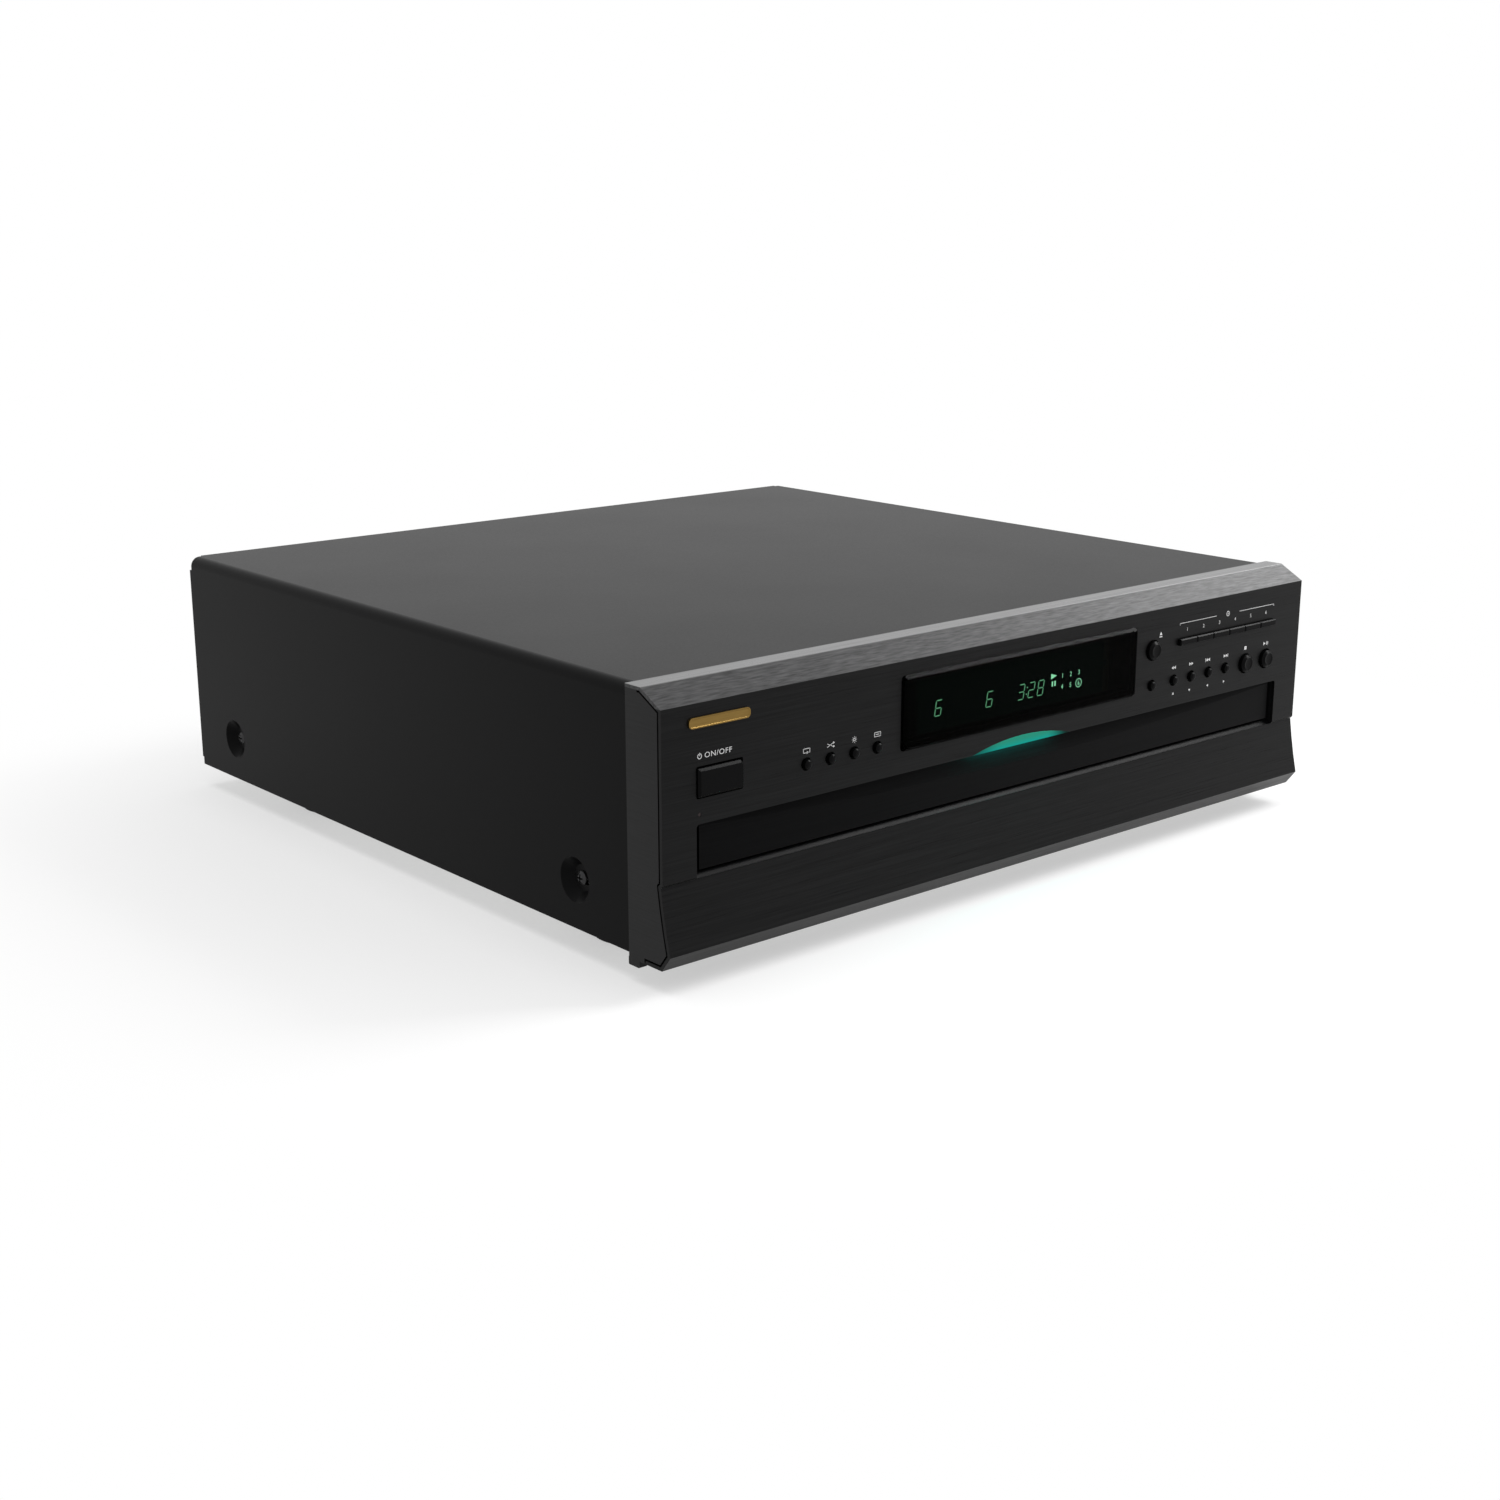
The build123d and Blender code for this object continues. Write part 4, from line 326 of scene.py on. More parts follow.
@dataclass(frozen=True)
class Finish:
    """One opaque finish with its grain.

    grain_mm is the size of one grain along X, Y and Z. tone and rough_spread say how far the grain moves the
    colour and the roughness, and depth_mm how deep it is.
    """

    name: str
    colour: Colour
    roughness: float
    metallic: float = 0.0
    specular: float = 0.5
    grain: Grain = Grain.MOULDED
    grain_mm: Triple = even(0.5)
    tone: float = 0.08
    rough_spread: float = 0.05
    depth_mm: float = 0.02
    handled: float = 0.03

    def build(self) -> Material:
        """Make the material.

        Returns:
            The new material.
        """
        material, tree, shader = start_material(self.name)
        shader.inputs["Metallic"].default_value = self.metallic
        shader.inputs["Specular IOR Level"].default_value = self.specular
        grain = use_group(tree, GRAIN, self.grain_mm)
        grain.inputs["Contrast"].default_value = self.grain.contrast
        tree.links.new(self._colour(tree, grain.outputs["Mask"]), shader.inputs["Base Color"])
        tree.links.new(self._roughness(tree, grain.outputs["Mask"]), shader.inputs["Roughness"])
        bump = tree.nodes.new("ShaderNodeBump")
        bump.inputs["Distance"].default_value = self.depth_mm * MM
        tree.links.new(grain.outputs["Height"], bump.inputs["Height"])
        tree.links.new(bump.outputs["Normal"], shader.inputs["Normal"])
        return material

    def _colour(self, tree: Tree, mask: Socket) -> Socket:
        """Return the colour's socket, moved by the grain in `mask`."""
        return mix_colour(tree, mask, *spread(self.colour, self.tone))

    def _roughness(self, tree: Tree, mask: Socket) -> Socket:
        """Let the grain and the handling move the roughness.

        Args:
            tree: The material's tree.
            mask: The grain.

        Returns:
            The roughness socket.
        """
        marks = use_group(tree, HANDLING, even(1.0 / MM)).outputs["Mask"]
        ends = (0.0, self.roughness - self.rough_spread), (1.0, self.roughness + self.rough_spread)
        worn = math_node(tree, "MULTIPLY", marks, self.handled)
        return math_node(tree, "ADD", ramp(tree, mask, *ends), worn)


@dataclass(frozen=True)
class BevelledFinish(Finish):
    """Brushed finish whose upper bevel is more coarsely brushed than the face below it, with a painted
    highlight that makes it paler.

    bevel_mm and crest_mm are the heights between which the bevel and the flat crest over it come in; the
    crest gets a brighter painted highlight.
    """

    bevel_highlight_colour: Colour = (0.2, 0.2, 0.2)
    crest_highlight_colour: Colour = (0.3, 0.3, 0.3)
    bevel_mm: Pair = (122.7, 122.85)
    crest_mm: Pair = (129.7, 129.9)
    stroke_mm: Triple = (7.0, 0.9, 0.9)
    stroke_tone: float = 0.42

    def _colour(self, tree: Tree, mask: Socket) -> Socket:
        """Add the bevel's painted highlight with its strokes, and the brighter painted highlight on the flat
        crest over it, to the brushed colour.

        Args:
            tree: The material's tree.
            mask: The grain.

        Returns:
            The colour socket.
        """
        face = super()._colour(tree, mask)
        strokes = use_group(tree, STREAKS, self.stroke_mm)
        # Painted highlight: the bevel is painted paler than the face, and the brush strokes move its tone.
        bevel = mix_colour(tree, strokes.outputs["Mask"], *spread(self.bevel_highlight_colour, self.stroke_tone))
        height = place_mm(tree, "Z")
        # Painted highlight: the flat crest on top of the bevel is painted brighter still.
        above, crest = (ramp(tree, height, (low, 0.0), (high, 1.0))
                        for low, high in (self.bevel_mm, self.crest_mm))
        return mix_colour(tree, above, face, mix_colour(tree, crest, bevel, self.crest_highlight_colour))


@dataclass(frozen=True)
class JackFinish(Finish):
    """Bright metal on the phono sockets and black plastic on the sockets beside them."""

    plastic: Colour = (0.010, 0.010, 0.0105)
    limit_mm: float = -122.0

    def build(self) -> Material:
        """Make the material.

        Returns:
            The new material.
        """
        material = super().build()
        tree = material.node_tree
        tree.links.new(self._metal(tree), tree.nodes["Principled BSDF"].inputs["Metallic"])
        return material

    def _metal(self, tree: Tree) -> Socket:
        """Socket that is 1 on the phono sockets, which lie beyond the limit, and 0 on the others."""
        return ramp(tree, place_mm(tree, "X"), (self.limit_mm - 0.1, 0.0), (self.limit_mm + 0.1, 1.0))

    def _colour(self, tree: Tree, mask: Socket) -> Socket:
        """Return the socket of the plastic's colour mixed with the metal's, moved by the grain in `mask`."""
        return mix_colour(tree, self._metal(tree), self.plastic, super()._colour(tree, mask))


@dataclass(frozen=True)
class ClearFinish:
    """Clear or smoked acrylic and glass."""

    name: str
    tint: Colour
    roughness: float = 0.03
    index: float = 1.49

    def build(self) -> Material:
        """Make the material.

        Returns:
            The new material.
        """
        material, tree, shader = start_material(self.name)
        shader.inputs["Transmission Weight"].default_value = 1.0
        shader.inputs["IOR"].default_value = self.index
        cloud = noise(tree, scaled_place(tree, even(16.0)), 1.0).outputs["Fac"]
        rough = ramp(tree, cloud, (0.0, self.roughness * 0.7), (1.0, self.roughness * 1.3))
        tree.links.new(rough, shader.inputs["Roughness"])
        tinted = mix_colour(tree, cloud, self.tint, [c * 0.94 for c in self.tint])
        tree.links.new(tinted, shader.inputs["Base Color"])
        return material


@dataclass(frozen=True)
class GlowFinish:
    """Light that shines out of a piece.

    With fade_mm it is brightest at bright_x_mm and fades to both ends along X, and from glow at the top of
    its height to low_glow at its foot. full is the share of either fade that is fully lit, and dim the share
    of the light that is left at the ends. spill is how much brighter it is to its surroundings than to the
    eye.
    """

    name: str
    body: Colour
    glow: Colour
    strength: float
    low_glow: Optional[Colour] = None
    height_mm: Pair = (0.0, 1.0)
    bright_x_mm: float = 0.0
    fade_mm: Pair = (0.0, 0.0)
    full: Pair = (0.35, 0.45)
    dim: float = 0.04
    spill: float = 1.0
    gloss: float = 0.3

    def build(self) -> Material:
        """Make the material.

        Returns:
            The new material.
        """
        material, tree, shader = start_material(self.name)
        shader.inputs["Roughness"].default_value = 0.25
        shader.inputs["Specular IOR Level"].default_value = self.gloss
        speck = noise(tree, scaled_place(tree, even(1.1)), 1.0).outputs["Fac"]
        body = mix_colour(tree, speck, [c * 0.9 for c in self.body], self.body)
        tree.links.new(body, shader.inputs["Base Color"])
        tree.links.new(self._light(tree, speck), shader.inputs["Emission Color"])
        shader.inputs["Emission Strength"].default_value = self.strength
        if self.spill != 1.0:
            path = tree.nodes.new("ShaderNodeLightPath")
            levels = (0.0, self.strength * self.spill), (1.0, self.strength)
            strength = ramp(tree, path.outputs["Is Camera Ray"], *levels)
            tree.links.new(strength, shader.inputs["Emission Strength"])
        return material

    def _light(self, tree: Tree, speck: Socket) -> Socket:
        """Shape the light over the piece.

        Args:
            tree: The material's tree.
            speck: Fine noise of the body.

        Returns:
            The colour socket.
        """
        light = mix_colour(tree, speck, [c * 0.85 for c in self.glow], self.glow)
        if self.fade_mm[0] <= 0:
            return light
        up = ramp(tree, place_mm(tree, "Z"), (self.height_mm[0], 0.0), (self.height_mm[1], 1.0))
        light = mix_colour(tree, up, self.low_glow or self.glow, light)
        off = math_node(tree, "SUBTRACT", place_mm(tree, "X"), self.bright_x_mm)
        left, right = (ramp(tree, off, (way * fade, 0.0), (way * fade * full, 1.0), True)
                       for way, fade, full in zip((-1, 1), self.fade_mm, self.full))
        both = math_node(tree, "MULTIPLY", left, right)
        return mix_colour(tree, both, [c * self.dim for c in self.glow], light)


# What the brushed faces, the powder coats and the printed marks share
BRUSH = (18.0, 0.2, 0.2)
POWDER = {"grain": Grain.POWDER, "grain_mm": even(0.35), "tone": 0.10, "rough_spread": 0.04,
          "depth_mm": 0.008, "handled": 0.012}
INK = {"specular": 0.3, "grain_mm": even(0.2), "depth_mm": 0.002}
FINISHES: dict[str, Finish | ClearFinish | GlowFinish] = {item.name: item for item in (
    Finish("satin_black_steel", (0.004, 0.004, 0.0042), 0.34, specular=0.045, **POWDER),
    # The bevel's and the crest's colours below are painted highlights, paler than the brushed face.
    BevelledFinish("brushed_black", (0.010, 0.010, 0.0102), 0.34, metallic=0.5, specular=0.10,
                   grain=Grain.BRUSHED, grain_mm=BRUSH, tone=0.4, rough_spread=0.10, depth_mm=0.006,
                   handled=0.02, bevel_highlight_colour=(0.062, 0.062, 0.063), crest_highlight_colour=(0.19, 0.19, 0.192)),
    Finish("drawer_black", (0.0035, 0.0035, 0.0037), 0.36, metallic=0.3, specular=0.03, grain=Grain.BRUSHED,
           grain_mm=BRUSH, tone=0.3, rough_spread=0.08, depth_mm=0.004),
    Finish("end_black", (0.015, 0.015, 0.0153), 0.40, metallic=0.5, specular=0.16, grain=Grain.BRUSHED,
           grain_mm=(0.2, 9.0, 0.2), tone=0.35, rough_spread=0.08, depth_mm=0.006),
    Finish("rear_black", (0.011, 0.011, 0.0113), 0.42, specular=0.12, **POWDER),
    Finish("black_abs", (0.006, 0.006, 0.0062), 0.5, specular=0.1, grain_mm=even(0.4), depth_mm=0.015),
    Finish("trim_black", (0.004, 0.004, 0.0042), 0.36, specular=0.04, grain_mm=even(0.6), depth_mm=0.004),
    Finish("foot_rubber", (0.010, 0.010, 0.010), 0.7, specular=0.2, depth_mm=0.03),
    Finish("zinc_steel", (0.52, 0.53, 0.51), 0.34, metallic=1.0, grain=Grain.BRUSHED,
           grain_mm=(5.0, 0.5, 5.0), tone=0.07, rough_spread=0.08, depth_mm=0.004, handled=0.08),
    Finish("black_screw", (0.030, 0.030, 0.031), 0.3, metallic=0.6, grain_mm=even(0.2), depth_mm=0.004),
    Finish("button_black", (0.0025, 0.0025, 0.0027), 0.3, specular=0.05, grain_mm=even(0.3), tone=0.1,
           depth_mm=0.002),
    Finish("tray_black", (0.012, 0.012, 0.0125), 0.5, specular=0.3, grain_mm=even(0.45), depth_mm=0.03),
    Finish("carousel_black", (0.016, 0.016, 0.0165), 0.4, specular=0.35, grain_mm=even(0.35), depth_mm=0.014),
    Finish("white_gear", (0.80, 0.79, 0.73), 0.42, tone=0.02, depth_mm=0.006),
    Finish("motor_steel", (0.56, 0.56, 0.55), 0.32, metallic=1.0, grain_mm=(0.4, 0.4, 3.0), tone=0.05,
           depth_mm=0.004),
    Finish("belt_rubber", (0.012, 0.012, 0.012), 0.8, specular=0.25, grain_mm=even(0.3)),
    Finish("traverse_grey", (0.055, 0.056, 0.058), 0.5, grain_mm=even(0.4), tone=0.12),
    Finish("turntable_black", (0.016, 0.016, 0.017), 0.45, grain_mm=even(0.3), depth_mm=0.01),
    Finish("rod_steel", (0.75, 0.75, 0.75), 0.14, metallic=1.0, grain_mm=(0.3, 4.0, 0.3), tone=0.02,
           depth_mm=0.001),
    JackFinish("jack_metal", (0.60, 0.59, 0.56), 0.24, grain_mm=(0.2, 2.0, 0.2), tone=0.03, depth_mm=0.002),
    Finish("shutter_black", (0.010, 0.010, 0.0105), 0.3, specular=0.3, grain_mm=even(0.3), depth_mm=0.002),
    Finish("jack_white", (0.78, 0.77, 0.73), 0.38, grain_mm=even(0.4), tone=0.03, depth_mm=0.003),
    Finish("jack_red", (0.42, 0.016, 0.014), 0.38, grain_mm=even(0.4), tone=0.06, depth_mm=0.003),
    Finish("jack_orange", (0.66, 0.16, 0.02), 0.38, grain_mm=even(0.4), tone=0.05, depth_mm=0.003),
    Finish("circuit_board", (0.30, 0.20, 0.085), 0.55, tone=0.12, depth_mm=0.01),
    Finish("badge_gold", (0.21, 0.132, 0.038), 0.34, metallic=1.0, grain=Grain.BRUSHED,
           grain_mm=(6.0, 0.12, 0.12), tone=0.16, rough_spread=0.08, depth_mm=0.004),
    Finish("print_white", (0.90, 0.90, 0.90), 0.6, tone=0.04, **INK),
    Finish("print_grey", (0.22, 0.22, 0.22), 0.6, tone=0.05, **INK),
    Finish("mask_black", (0.002, 0.002, 0.002), 0.8, specular=0.0, depth_mm=0.004),
    GlowFinish("tube_dark", (0.0015, 0.002, 0.0018), (0.25, 0.60, 0.42), 0.03, gloss=0.0),
    Finish("sensor_dark", (0.004, 0.004, 0.005), 0.3, specular=0.0, grain_mm=even(0.3), depth_mm=0.001),
    ClearFinish("smoked_window", (0.045, 0.055, 0.050), 0.004, 1.06),
    GlowFinish("teal_lens", (0.001, 0.012, 0.010), (0.020, 0.31, 0.21), 0.9, low_glow=(0.001, 0.34, 0.28),
               height_mm=(71.2, 73.6), bright_x_mm=4.0, fade_mm=(46.0, 28.0), spill=45.0, gloss=0.05),
    GlowFinish("lamp_red", (0.012, 0.002, 0.002), (0.2, 0.02, 0.02), 0.01),
    GlowFinish("segment_green", (0.02, 0.08, 0.04), (0.17, 0.46, 0.26), 17.0, gloss=0.0),
    GlowFinish("mark_green", (0.02, 0.08, 0.04), (0.36, 0.82, 0.52), 17.0, gloss=0.0),
)}

CAD_FINISH: dict[str, tuple[str, ...]] = {
    "satin_black_steel": ("top_cover",),
    "rear_black": ("rear_panel",),
    "brushed_black": ("front_panel",),
    "drawer_black": ("drawer_front",),
    "end_black": ("end_cap_left", "end_cap_right"),
    "black_abs": ("panel_frame", "rail_left", "rail_right", "traverse_cradle", "cord_gland", "lift_slider"),
    "trim_black": ("drawer_sill",),
    "foot_rubber": ("feet",),
    "zinc_steel": ("bottom_chassis", "clamp_bridge"),
    "black_screw": ("cover_screws",),
    "tray_black": ("drawer_tray",),
    "carousel_black": ("carousel", "carousel_cap"),
    "white_gear": ("carousel_drive_gear", "carousel_pulley", "drawer_pinion", "lift_gear"),
    "motor_steel": ("carousel_motor", "spindle_motor", "gear_motors", "transformer"),
    "belt_rubber": ("carousel_belt",),
    "traverse_grey": ("traverse_frame", "pickup_sled"),
    "turntable_black": ("disc_turntable", "clamp_puck"),
    "rod_steel": ("sled_rods",),
    "jack_metal": ("rear_jacks",),
    "circuit_board": ("key_board", "main_board"),
    "smoked_window": ("display_window",),
    "tube_dark": ("display_tube",),
    "teal_lens": ("light_lens",),
    "lamp_red": ("standby_lamp",),
    "button_black": ("power", "repeat", "random", "dimmer", "display", "open_close", "disc_skip", "rewind",
                     "forward", "previous", "next", "stop", "play",
                     *(f"disc_key_{number}" for number in range(1, 7))),
}


@dataclass
class Paintbox:
    """All the materials, each made when it is first asked for."""

    made: dict[str, Material] = field(default_factory=dict)

    def get(self, name: str) -> Material:
        """Return the material of that name.

        Args:
            name: Name of a finish.

        Returns:
            The material.
        """
        if name not in self.made:
            self.made[name] = FINISHES[name].build()
        return self.made[name]

    def dress_cad(self) -> None:
        """Give every fixed node its finish."""
        for name, nodes in CAD_FINISH.items():
            for node in nodes:
                mesh = NODES[node].data
                mesh.materials.clear()
                mesh.materials.append(self.get(name))
        LOG.info("dressed %d nodes", sum(len(nodes) for nodes in CAD_FINISH.values()))


# Modelling by hand

@dataclass(frozen=True)
class Surface:
    """A flat surface across Y that marks lie on.

    way is -1 for one that looks out of the front and 1 for one that looks out of the back.
    """

    y: float
    way: int = -1

    @property
    def lean(self) -> float:
        """Turn about X that stands a flat shape up on this surface."""
        return -self.way * pi / 2

    def above(self, rise: float) -> float:
        """Place along Y that is `rise` outside the surface."""
        return self.y + self.way * rise


FACE = Surface(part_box("light_lens")[0].y)


def deselect() -> None:
    """Leave edit mode and select nothing."""
    if bpy.context.object and bpy.context.object.mode != "OBJECT":
        bpy.ops.object.mode_set(mode="OBJECT")
    bpy.ops.object.select_all(action="DESELECT")


def choose(piece: Piece) -> None:
    """Make a piece the only selected and active one.

    Args:
        piece: The piece.
    """
    deselect()
    bpy.context.view_layer.objects.active = piece
    piece.select_set(True)


def settle(name: str) -> Piece:
    """Name the active object and put its place into its mesh.

    Args:
        name: New name.

    Returns:
        The object.
    """
    piece = bpy.context.object
    piece.name = piece.data.name = name
    bpy.ops.object.transform_apply(location=True, rotation=True, scale=True)
    return piece


def pick(piece: Piece, test: Callable[[bpy.types.MeshPolygon], bool]) -> None:
    """Enter edit mode with only some faces selected.

    Args:
        piece: Object to edit.
        test: Says which faces.
    """
    choose(piece)
    bpy.ops.object.mode_set(mode="EDIT")
    bpy.ops.mesh.select_mode(type="FACE")
    bpy.ops.mesh.select_all(action="DESELECT")
    bpy.ops.object.mode_set(mode="OBJECT")
    for face in piece.data.polygons:
        face.select = test(face)
    bpy.ops.object.mode_set(mode="EDIT")


def finish_edit(outward: bool = False) -> None:
    """Leave edit mode.

    Args:
        outward: Turn every face outwards first.
    """
    if outward:
        bpy.ops.mesh.select_all(action="SELECT")
        bpy.ops.mesh.normals_make_consistent(inside=False)
    bpy.ops.object.mode_set(mode="OBJECT")


def open_loops() -> None:
    """Delete the selected faces and bridge the two loops that they leave, in edit mode."""
    bpy.ops.mesh.delete(type="FACE")
    bpy.ops.mesh.select_mode(type="EDGE")
    bpy.ops.mesh.select_non_manifold()
    bpy.ops.mesh.bridge_edge_loops()
    finish_edit(outward=True)


def block(name: str, low: Iterable[float], high: Iterable[float], bevel: float = 0.0) -> Piece:
    """Make a bar between two corners, with rounded edges.

    Args:
        name: Name of the piece.
        low: Lowest corner.
        high: Highest corner.
        bevel: Radius of its edges.

    Returns:
        The piece.
    """
    low, high = Vector(low), Vector(high)
    deselect()
    bpy.ops.mesh.primitive_cube_add(size=1, location=(low + high) / 2, scale=high - low)
    piece = settle(name)
    if bevel > 0:
        pick(piece, lambda face: True)
        bpy.ops.mesh.bevel(offset=bevel, segments=2, affect="EDGES")
        finish_edit()
    return piece


def plate(name: str, x: float, z: float, corners: int, radius: float, turn: float = 0.0, on: Surface = FACE,
          rise: float = INK_RISE) -> Piece:
    """Make a thin regular polygon on a surface.

    Args:
        name: Name of the piece.
        x: Middle, across.
        z: Middle, up.
        corners: Number of corners.
        radius: Corner radius.
        turn: Turn of the first corner from +X, in radians.
        on: The surface it lies on.
        rise: How far it stands out of the surface.

    Returns:
        The piece.
    """
    deselect()
    y = (on.above(rise) + on.above(-INK_DEPTH)) / 2
    bpy.ops.mesh.primitive_cylinder_add(vertices=corners, radius=radius, depth=rise + INK_DEPTH,
                                        location=(x, y, z), rotation=(on.lean, pi / 2 - turn, 0))
    return settle(name)


def ring(name: str, x: float, z: float, outer: float, inner: float, on: Surface = FACE,
         rise: float = INK_RISE, steps: int = 48) -> Piece:
    """Make a thin flat ring on a surface.

    Args:
        name: Name of the piece.
        x: Middle, across.
        z: Middle, up.
        outer: Outer radius.
        inner: Inner radius.
        on: The surface it lies on.
        rise: How far it stands out of the surface.
        steps: Straight steps round it.

    Returns:
        The piece.
    """
    piece = plate(name, x, z, steps, outer, 0.0, on, rise)
    pick(piece, lambda face: abs(face.normal.y) > 0.5)
    bpy.ops.mesh.inset(thickness=outer - inner, use_individual=True)
    open_loops()
    return piece


def bar(name: str, start: Pair, end: Pair, width: float, on: Surface = FACE) -> Piece:
    """Make a thin straight stroke on a surface.

    Args:
        name: Name of the piece.
        start: One end, across and up.
        end: The other end.
        width: Width of the stroke.
        on: The surface it lies on.

    Returns:
        The piece.
    """
    run = Vector(end) - Vector(start)
    middle = (Vector(end) + Vector(start)) / 2
    y = (on.above(INK_RISE) + on.above(-INK_DEPTH)) / 2
    deselect()
    bpy.ops.mesh.primitive_cube_add(size=1, location=(middle.x, y, middle.y),
                                    rotation=(0, -atan2(run.y, run.x), 0),
                                    scale=(run.length, INK_RISE + INK_DEPTH, width))
    return settle(name)


def words(name: str, text: str, place: Iterable[float], height: float, turn: Triple, width: float = 1.0,
          spacing: float = 1.0) -> Piece:
    """Print generic characters.

    Args:
        name: Name of the piece.
        text: The characters.
        place: Middle of their foot, on the surface.
        height: Height of a capital.
        turn: Turn of their plane from one that looks up.
        width: Width as a share of the plain letters.
        spacing: Space between the letters as a share of the plain one.

    Returns:
        The piece.
    """
    deselect()
    bpy.ops.object.text_add(location=(0, 0, 0))
    curve = bpy.context.object
    curve.data.body = text
    curve.data.size = height / CAPITAL_SHARE
    curve.data.align_x = "CENTER"
    curve.data.space_character = spacing
    curve.data.resolution_u = 4
    curve.data.extrude = (INK_RISE + INK_DEPTH) / 2
    bpy.ops.object.convert(target="MESH")
    piece = bpy.context.object
    pick(piece, lambda face: True)
    bpy.ops.mesh.remove_doubles(threshold=height * 0.0005)
    finish_edit(outward=True)
    piece.scale = (width, 1, 1)
    piece.rotation_euler = turn
    outward = piece.rotation_euler.to_matrix() @ Vector((0, 0, 1))
    piece.location = Vector(place) + outward * (INK_RISE - INK_DEPTH) / 2
    choose(piece)
    return settle(name)


def front_words(name: str, text: str, x: float, z: float, height: float, on: Surface = FACE,
                width: float = 1.0, spacing: float = 1.0) -> Piece:
    """Print generic characters round a middle on a surface that looks out of the front."""
    return words(name, text, (x, on.y, z - height / 2), height, (pi / 2, 0, 0), width, spacing)


def join(name: str, pieces: list[Piece]) -> Piece:
    """Join pieces into one.

    Args:
        name: Name of the joined piece.
        pieces: What to join.

    Returns:
        The joined piece.
    """
    choose(pieces[0])
    for piece in pieces:
        piece.select_set(True)
    if len(pieces) > 1:
        bpy.ops.object.join()
    pieces[0].name = pieces[0].data.name = name
    return pieces[0]


# Sub-assemblies

@dataclass
class Assembly:
    """A sub-assembly that draws its finishes from one paintbox."""

    paint: Paintbox

    def hand_over(self, piece: Piece, finish: str, slot: str, smooth: float = 0.0,
                  body: str = "case") -> None:
        """Give a finished piece its finish and its body.

        Args:
            piece: The finished piece.
            finish: Name of its finish.
            slot: The record's slot that it belongs to; not used.
            smooth: Angle below which its edges are shaded smooth, in degrees, or 0 for flat.
            body: Body that it rides on.
        """
        piece.data.materials.clear()
        piece.data.materials.append(self.paint.get(finish))
        if smooth > 0:
            choose(piece)
            bpy.ops.object.shade_smooth_by_angle(angle=radians(smooth))
        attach(piece, body)
        LOG.info("%s: %d faces on %s", piece.name, len(piece.data.polygons), body)


@dataclass
class Badge(Assembly):
    """Raised gold bar at the upper left of the front, left plain."""

    x: float = -187.0 * MM
    z: float = 114.7 * MM
    width: float = 33.0 * MM
    height: float = 4.6 * MM
    rise: float = 0.9 * MM
    rim: float = 0.45 * MM

    def build(self) -> None:
        """Model the bar: a rounded plate with a raised rim."""
        half_w, half_h = self.width / 2, self.height / 2
        low = (self.x - half_w, FACE.above(self.rise), self.z - half_h)
        high = (self.x + half_w, FACE.above(-0.3 * MM), self.z + half_h)
        piece = block("badge_bar", low, high)
        self._round_ends(piece)
        pick(piece, lambda face: face.normal.y < -0.9)
        bpy.ops.mesh.inset(thickness=self.rim)
        bpy.ops.mesh.inset(thickness=self.rim * 0.5, depth=-self.rim * 0.6)
        finish_edit()
        self.hand_over(piece, "badge_gold", "brushed_black", 35)

    def _round_ends(self, piece: Piece) -> None:
        """Round the four edges that run along Y.

        Args:
            piece: The bar.
        """
        pick(piece, lambda face: False)
        bpy.ops.mesh.select_mode(type="EDGE")
        finish_edit()
        for edge in piece.data.edges:
            first, last = (piece.data.vertices[v].co for v in edge.vertices)
            edge.select = abs(first.y - last.y) > 0.5 * self.rise
        bpy.ops.object.mode_set(mode="EDIT")
        bpy.ops.mesh.bevel(offset=self.height * 0.4, segments=6, affect="EDGES")
        finish_edit()


@dataclass
class WindowHood(Assembly):
    """Black hood that lines the way from the window to the display tube and hides what is beside it."""

    side: float = 3.4 * MM
    rim: float = 0.4 * MM
    gap: float = 0.15 * MM
    lap: float = 0.8 * MM

    def build(self) -> None:
        """Model the hood: a box that is open at the front, with a hole in its floor for the tube's face."""
        window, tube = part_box("display_window"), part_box("display_tube")
        low = Vector((window[0].x + self.side, window[1].y + self.gap, window[0].z + self.side))
        high = Vector((window[1].x - self.side, tube[0].y - self.gap, window[1].z - self.side))
        size, hole = high - low, tube[1] - tube[0] - Vector((2 * self.lap, 0, 2 * self.lap))
        hood = block("window_hood", low, high)
        pick(hood, lambda face: face.normal.y < -0.9)
        bpy.ops.mesh.inset(thickness=self.rim)
        bpy.ops.mesh.inset(thickness=0.0, depth=self.rim - size.y)
        self._fit(size, 2, hole, (low + high) / 2, (tube[0] + tube[1]) / 2)
        pick(hood, lambda face: face.normal.y > 0.9)
        self._fit(size, 1, hole, (low + high) / 2, (tube[0] + tube[1]) / 2)
        area = hole.x * hole.z
        pick(hood, lambda face: abs(face.normal.y) > 0.9 and abs(face.area / area - 1) < 0.01)
        open_loops()
        self.hand_over(hood, "mask_black", "black_abs")

    def _fit(self, size: Vector, insets: int, hole: Vector, middle: Vector, wanted: Vector) -> None:
        """Inset the picked face and bring its middle part to the hole's size and place.

        Args:
            size: Size of the whole hood.
            insets: How many rims lie outside the face after this inset.
            hole: Size of the hole.
            middle: Middle of the hood.
            wanted: Middle of the hole.
        """
        bpy.ops.mesh.inset(thickness=self.rim * 0.5)
        rims = 2 * self.rim * (insets - 0.5)
        ratio = (hole.x / (size.x - rims), 1, hole.z / (size.z - rims))
        bpy.ops.transform.resize(value=ratio, center_override=middle)
        bpy.ops.transform.translate(value=(wanted.x - middle.x, 0, wanted.z - middle.z))
        finish_edit()


